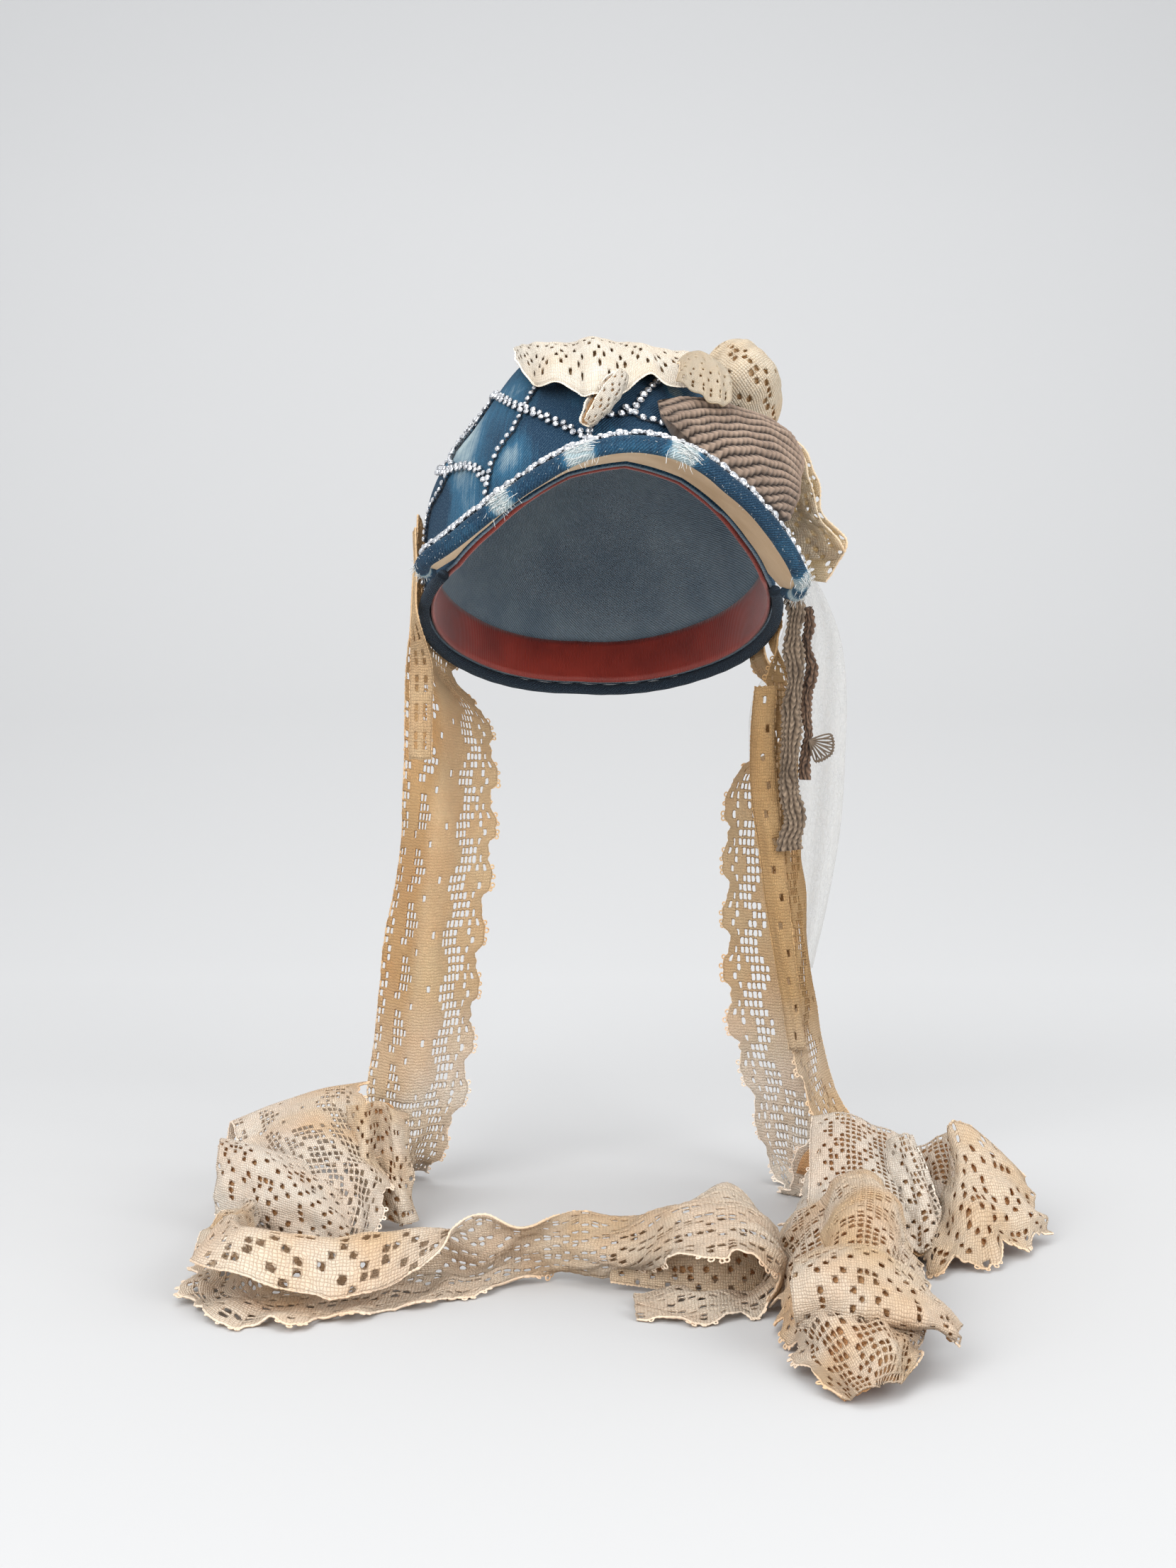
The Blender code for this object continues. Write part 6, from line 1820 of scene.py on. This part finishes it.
def make_bow(material):
    """The ribbed wedge: ribs that rise from the visor's stones and run back to a fold."""
    columns = smooth_rows(BOW_COLUMNS, BOW_LONG + 1)
    middle = np.array([on_cap(*((column[:3] + column[3:6]) / 2)) for column in columns])
    length = float(distances(middle)[-1])
    rings = np.zeros((BOW_LONG + 1, BOW_DEEP + 5, 3))
    groove_shade = np.full((BOW_LONG + 1, BOW_DEEP + 5), 0.55)
    hills = wander(BOW_LONG + 1, BOW_DEEP + 1, 81, 0.0007, (12, 9))
    rest = BOW_SEAT + 0.0006
    for i, column in enumerate(columns):
        top = column[:3]
        low = column[3:6]
        s = i / BOW_LONG
        turned = max(0.0, s - BOW_FOLD) / (1 - BOW_FOLD)
        for k in range(BOW_DEEP + 1):
            t = k / BOW_DEEP
            swell = math.sqrt(max(0.0, 1 - (2 * t - 1) ** 4))
            azimuth, height, lift = top * (1 - t) + low * t
            value = bow_relief(s, t, length)
            # Painted shade: the knit's holes and grooves, and its edges, are marked darker.
            groove_shade[i, k] = 1 - value * min(1.0, 0.45 + swell * 1.6)
            lift += column[6] * swell + (hills[i, k] - RIB_DEPTH * (1 - value)) * min(1.0, swell * 1.6)
            lift = lift * (1 - 0.62 * turned**2.2)
            lift = rest + (lift - rest) * math.sqrt(min(1.0, s / 0.10))
            rings[i, k] = on_cap(azimuth, height, lift)
        foot = max(min(rim_share(low[0]) + BOW_FOOT, low[1]), low[1] - 0.004)
        for k, t in enumerate((1.0, 0.5, 0.0), BOW_DEEP + 1):
            azimuth = top[0] * (1 - t) + low[0] * t
            rings[i, k] = on_cap(azimuth, top[1] * (1 - t) + foot * t, BOW_SEAT)
    rings[:, -1] = rings[:, 0]
    groove_shade[:, -1] = groove_shade[:, 0]
    uv = pairs_of(np.linspace(0, length, len(rings))[:, None], np.linspace(0, 0.06, BOW_DEEP + 5)[None])
    ends = [rings[0].mean(axis=0), rings[-1].mean(axis=0)]
    mesh = closed_rings("bow_knit", rings, ends, uv, turned=True)
    add_values(mesh, "groove_shade", np.clip(np.append(groove_shade, [1, 1]) * 1.55 - 0.30, 0, 1))
    place(mesh, material, "knit_bow")


def make_tail(node, rows, ribs, material):
    """A knitted tail: ribs and stitches round a flat tube that wanders as it hangs."""
    rows = smooth_rows(rows, TAIL_FINE)
    swing = wander(TAIL_FINE, 4, 85 + ribs, 1.0, (11, 3))
    rows[:, 0] += swing[:, 0] * 0.0020
    rows[:, 3] *= 0.96 + 0.26 * swing[:, 1] + 0.10 * np.linspace(0, 1, TAIL_FINE) ** 6
    rows[:, 4] *= 1.25 + 0.2 * swing[:, 2]
    centres = rows[:, :3] + np.array([0, 0, FLOOR_Z])
    heading = unit(np.gradient(centres, axis=0))
    side = unit(np.array([1.0, 0.0, 0.0]) - heading * heading[:, :1])
    other = np.cross(heading, side)
    turn = np.arange(TAIL_SIDES + 1)[None] / TAIL_SIDES
    angles = 2 * np.pi * turn
    along = distances(centres)[:, None]
    rib = (turn * ribs * 2 + wander(TAIL_FINE, TAIL_SIDES + 1, 88 + ribs, 0.50, (22, 8))) % 1.0
    stitch = 0.5 + 0.5 * np.cos(2 * np.pi * (along / TAIL_STITCH + np.abs(rib - 0.5) * 1.6))
    value = np.abs(np.sin(np.pi * rib)) ** 0.9 * (0.45 + 0.55 * stitch)
    dip = 1 - TAIL_RIB_DEPTH / rows[:, 4:5] * (1 - value) * 0.8
    wide = (rows[:, 3:4] * np.cos(angles) * dip)[..., None]
    thick = (rows[:, 4:5] * np.sin(angles) * dip)[..., None]
    rings = centres[:, None] + side[:, None] * wide + other[:, None] * thick
    ends = [centres[0], centres[-1]]
    mesh = closed_rings(node + "_yarn", rings, ends, pairs_of(along, angles * 0.004), turned=True)
    # Painted shade: the tail's grooves are marked darker.
    add_values(mesh, "groove_shade", np.clip(np.append(1 - value, [0.5, 0.5]) * 1.15 - 0.1, 0, 1))
    place(mesh, material, node)


def make_flower(material):
    """A fan of crocheted loops with a knotted rim."""
    root = np.array(FLOWER_CENTRE) + np.array([-0.0055, 0.0, FLOOR_Z + 0.0040])
    turn = np.linspace(0, 2 * math.pi, LOOP_FINE)
    parts = []
    tips = []
    for number, angle in enumerate(np.radians(np.linspace(14, -72, FLOWER_LOOPS))):
        reach = FLOWER_REACH - 0.0016 * abs(number - 3.0) / 3
        along = np.array([math.cos(angle), 0.0, math.sin(angle)])
        side = np.array([-math.sin(angle), 0.0, math.cos(angle)])
        out = reach * (0.5 - 0.5 * np.cos(turn))
        sway = 0.0012 * np.sin(turn) * (0.6 - 0.4 * np.cos(turn))
        line = root + out[:, None] * along + sway[:, None] * side
        line[:, 1] += 0.0008 * np.sin(turn + number) - 0.0004 * (number % 2)
        tips.append(line[LOOP_FINE // 2])
        parts.append(tube_mesh("loop", line, PICOT_CORD, 6, (0, -1.0, 0)))
    radii = 0.00065 + 0.00030 * np.sin(np.arange(FLOWER_RIM_FINE) * 1.3)
    parts.append(tube_mesh("rim", smooth_rows(tips, FLOWER_RIM_FINE), radii, 7, (0, -1.0, 0)))
    for mesh in parts:
        # The flower takes an even half share of the groove shade colour all over.
        add_values(mesh, "groove_shade", 0.5)
    place(join_meshes("flower_yarn", parts), material, "knit_flower")


# The stage: camera, lights and floor

CAMERA_AT = (-0.006, -1.250, -0.030)
CAMERA_DOWN = 3.11
LENS = 56.25
# columns: name, place, what it faces, size, power in watts
LIGHTS = (
    ("front_left", (-0.9, -1.7, 0.9), (0, 0, -0.10), 1.5, 40.0),
    ("front_right", (1.2, -1.5, 0.5), (0, 0, -0.10), 1.2, 23.0),
    ("top", (-0.2, 0.0, 1.8), (0, 0, 0), 1.4, 8.5),
    ("back", (0.0, 0.8, 1.6), (0, 0.8, -1.0), 1.6, 11.0),
    ("right_side", (1.5, 0.1, 0.5), (0.1, 0, 0.0), 1.2, 5.0),
)
WORLD_COLOUR = (0.90, 0.92, 0.95, 1)
WORLD_STRENGTH = 0.74
# The floor's paper: where it starts and bends up, the bend's radius, its top and half width
SWEEP_FRONT = -3.0
SWEEP_DEPTH = 0.8
SWEEP_RADIUS = 2.0
SWEEP_TOP = 4.0
SWEEP_HALF_WIDTH = 5.0
# How pale the paper is from front to back: painted light and shade, darker near the camera, palest where it
# starts to bend, a little darker on the bend and paler again towards its top
PAPER_PAINTED_LIGHT = ((0.0, 0.475), (0.42, 0.525), (0.546, 0.600), (0.65, 0.580), (0.78, 0.556), (1.0, 0.650))


def add_to_stage(name, data, at):
    obj = bpy.data.objects.new(name, data)
    obj.location = at
    scene.collection.objects.link(obj)
    return obj


def make_stage():
    camera = add_to_stage("camera", bpy.data.cameras.new("camera"), CAMERA_AT)
    camera.rotation_euler = (math.radians(90 - CAMERA_DOWN), 0, 0)
    camera.data.sensor_fit = "VERTICAL"
    camera.data.sensor_height = 36.0
    camera.data.lens = LENS
    camera.data.clip_start = 0.01
    scene.camera = camera
    for name, at, towards, size, energy in LIGHTS:
        lamp = add_to_stage(name, bpy.data.lights.new(name, "AREA"), at)
        lamp.data.size = size
        lamp.data.energy = energy
        lamp.rotation_euler = (Vector(towards) - Vector(at)).to_track_quat("-Z", "Y").to_euler()
    world = bpy.data.worlds.new("studio")
    scene.world = world
    world.use_nodes = True
    colour, strength = world.node_tree.nodes["Background"].inputs[:2]
    colour.default_value = WORLD_COLOUR
    strength.default_value = WORLD_STRENGTH
    scene.view_settings.view_transform = "Standard"
    profile = [(SWEEP_FRONT, 0.0), (SWEEP_DEPTH, 0.0)]
    for angle in np.linspace(0, math.pi / 2, 24)[1:]:
        profile.append((SWEEP_DEPTH + SWEEP_RADIUS * math.sin(angle), SWEEP_RADIUS * (1 - math.cos(angle))))
    profile.append((SWEEP_DEPTH + SWEEP_RADIUS, SWEEP_TOP))
    sides = (-SWEEP_HALF_WIDTH, SWEEP_HALF_WIDTH)
    grid = np.array([[(x, y, FLOOR_Z + z) for x in sides] for y, z in profile])
    mesh = mesh_from("floor", grid.reshape(-1, 3), grid_quads(len(profile), 2)[:, ::-1])
    look = Look("floor_paper", 0.75)
    # Painted light: the paper's grey follows its place from front to back.
    look.colour = look.ramp(look.spread(look.axis(look.here(), "Y"), -1.2, 2.5), *PAPER_PAINTED_LIGHT)
    mesh.materials.append(look.done())
    add_to_stage("floor", mesh, (0, 0, 0))


# Name, base and pale colour, deep colour of the painted shade in the stitches' gaps, light that shines
# through and its share, tint of the painted shade on what hangs if any
LACES = {
    "lace": (
        "lace_beige", (0.98, 0.81, 0.65), (1.0, 0.92, 0.80), (0.66, 0.45, 0.27),
        (0.98, 0.74, 0.48), 0.26, (0.81, 0.65, 0.445),
    ),
    # A darker golden copy of the lace: painted shade on the strip's inner side, also worn by the sash and
    # its fold.
    "gold_shade": (
        "lace_golden_shade", (0.86, 0.69, 0.50), (0.96, 0.83, 0.66), (0.44, 0.27, 0.12),
        (0.95, 0.66, 0.34), 0.28, (0.68, 0.52, 0.32),
    ),
    "cream": (
        "lace_cream_cotton", (0.94, 0.80, 0.63), (0.98, 0.91, 0.79), (0.70, 0.50, 0.31),
        (1.0, 0.80, 0.52), 0.12,
    ),
    # The under layers are painted shade: darker, more golden colours that show through the holes of the lace
    # above.
    "under": (
        "lace_underlayer_shade", (0.95, 0.52, 0.23), (1.0, 0.66, 0.35), (0.64, 0.32, 0.12),
        (1.0, 0.58, 0.24), 0.30,
    ),
    "lobe": (
        "lace_lobe_cotton", (1.0, 0.82, 0.59), (1.0, 0.92, 0.76), (0.80, 0.57, 0.33),
        (1.0, 0.80, 0.50), 0.36,
    ),
    "side": (
        "lace_side_cotton", (1.0, 0.82, 0.60), (1.0, 0.92, 0.76), (0.78, 0.55, 0.31),
        (1.0, 0.82, 0.52), 0.46,
    ),
    "warm_shade_under": (
        "lace_warm_shade_underlayer", (1.0, 0.64, 0.33), (1.0, 0.76, 0.47), (0.76, 0.44, 0.20),
        (1.0, 0.66, 0.32), 0.30,
    ),
}


def make_looks():
    looks = {key: lace_look(*colours) for key, colours in LACES.items()}
    looks.update(
        denim=denim_look("denim_cloth", (0.005, 0.034, 0.076), (0.026, 0.125, 0.225), (0.47, 0.58, 0.60)),
        rim=denim_look("denim_rim", (0.012, 0.020, 0.034), (0.030, 0.050, 0.075), (0.16, 0.2, 0.24)),
        satin=satin_look(),
        lining=lining_look(),
        sheer=sheer_look(),
        gems=gem_look(),
        cups=cup_look(),
        pale_thread=thread_look("pale_threads", (0.50, 0.54, 0.56), (0.82, 0.82, 0.78)),
        dark_thread=thread_look("dark_thread", (0.012, 0.014, 0.020), (0.035, 0.04, 0.05)),
        knit=knit_look("wool", (0.22, 0.155, 0.115), (0.41, 0.30, 0.225), (0.018, 0.011, 0.008)),
        # A darker, redder copy of the wool for the short tail: partly its browner yarn, partly painted shade
        # where it hangs in shadow.
        brown_knit=knit_look("wool_brown_shaded", (0.085, 0.045, 0.028), (0.25, 0.155, 0.1), (0.012, 0.006, 0.004)),
        dark_knit=knit_look("wool_dark", (0.15, 0.105, 0.07), (0.36, 0.27, 0.19), (0.018, 0.010, 0.006)),
    )
    return looks


def main():
    make_stage()
    looks = make_looks()
    make_crown(looks["denim"])
    make_sweatband(looks["satin"])
    make_rim_binding(looks["rim"])
    outer, edge_up, inner = make_visor(looks["denim"], looks["lining"])
    make_frays(looks["pale_thread"], outer, edge_up)
    make_chain_stones(looks)
    make_visor_stones(looks, outer, edge_up, inner)
    make_side_ruffle(looks["side"])
    make_top_ruffle(looks["cream"], looks["warm_shade_under"])
    make_beak(looks["cream"], looks["under"])
    make_lobe(looks["lobe"], looks["warm_shade_under"])
    make_puff(looks["lobe"], looks["warm_shade_under"])
    make_falls(looks)
    make_bow(looks["knit"])
    make_tail("knit_tail_long", TAIL_LONG, 5, looks["dark_knit"])
    make_tail("knit_tail_short", TAIL_SHORT, 3, looks["brown_knit"])
    make_flower(looks["dark_knit"])


main()
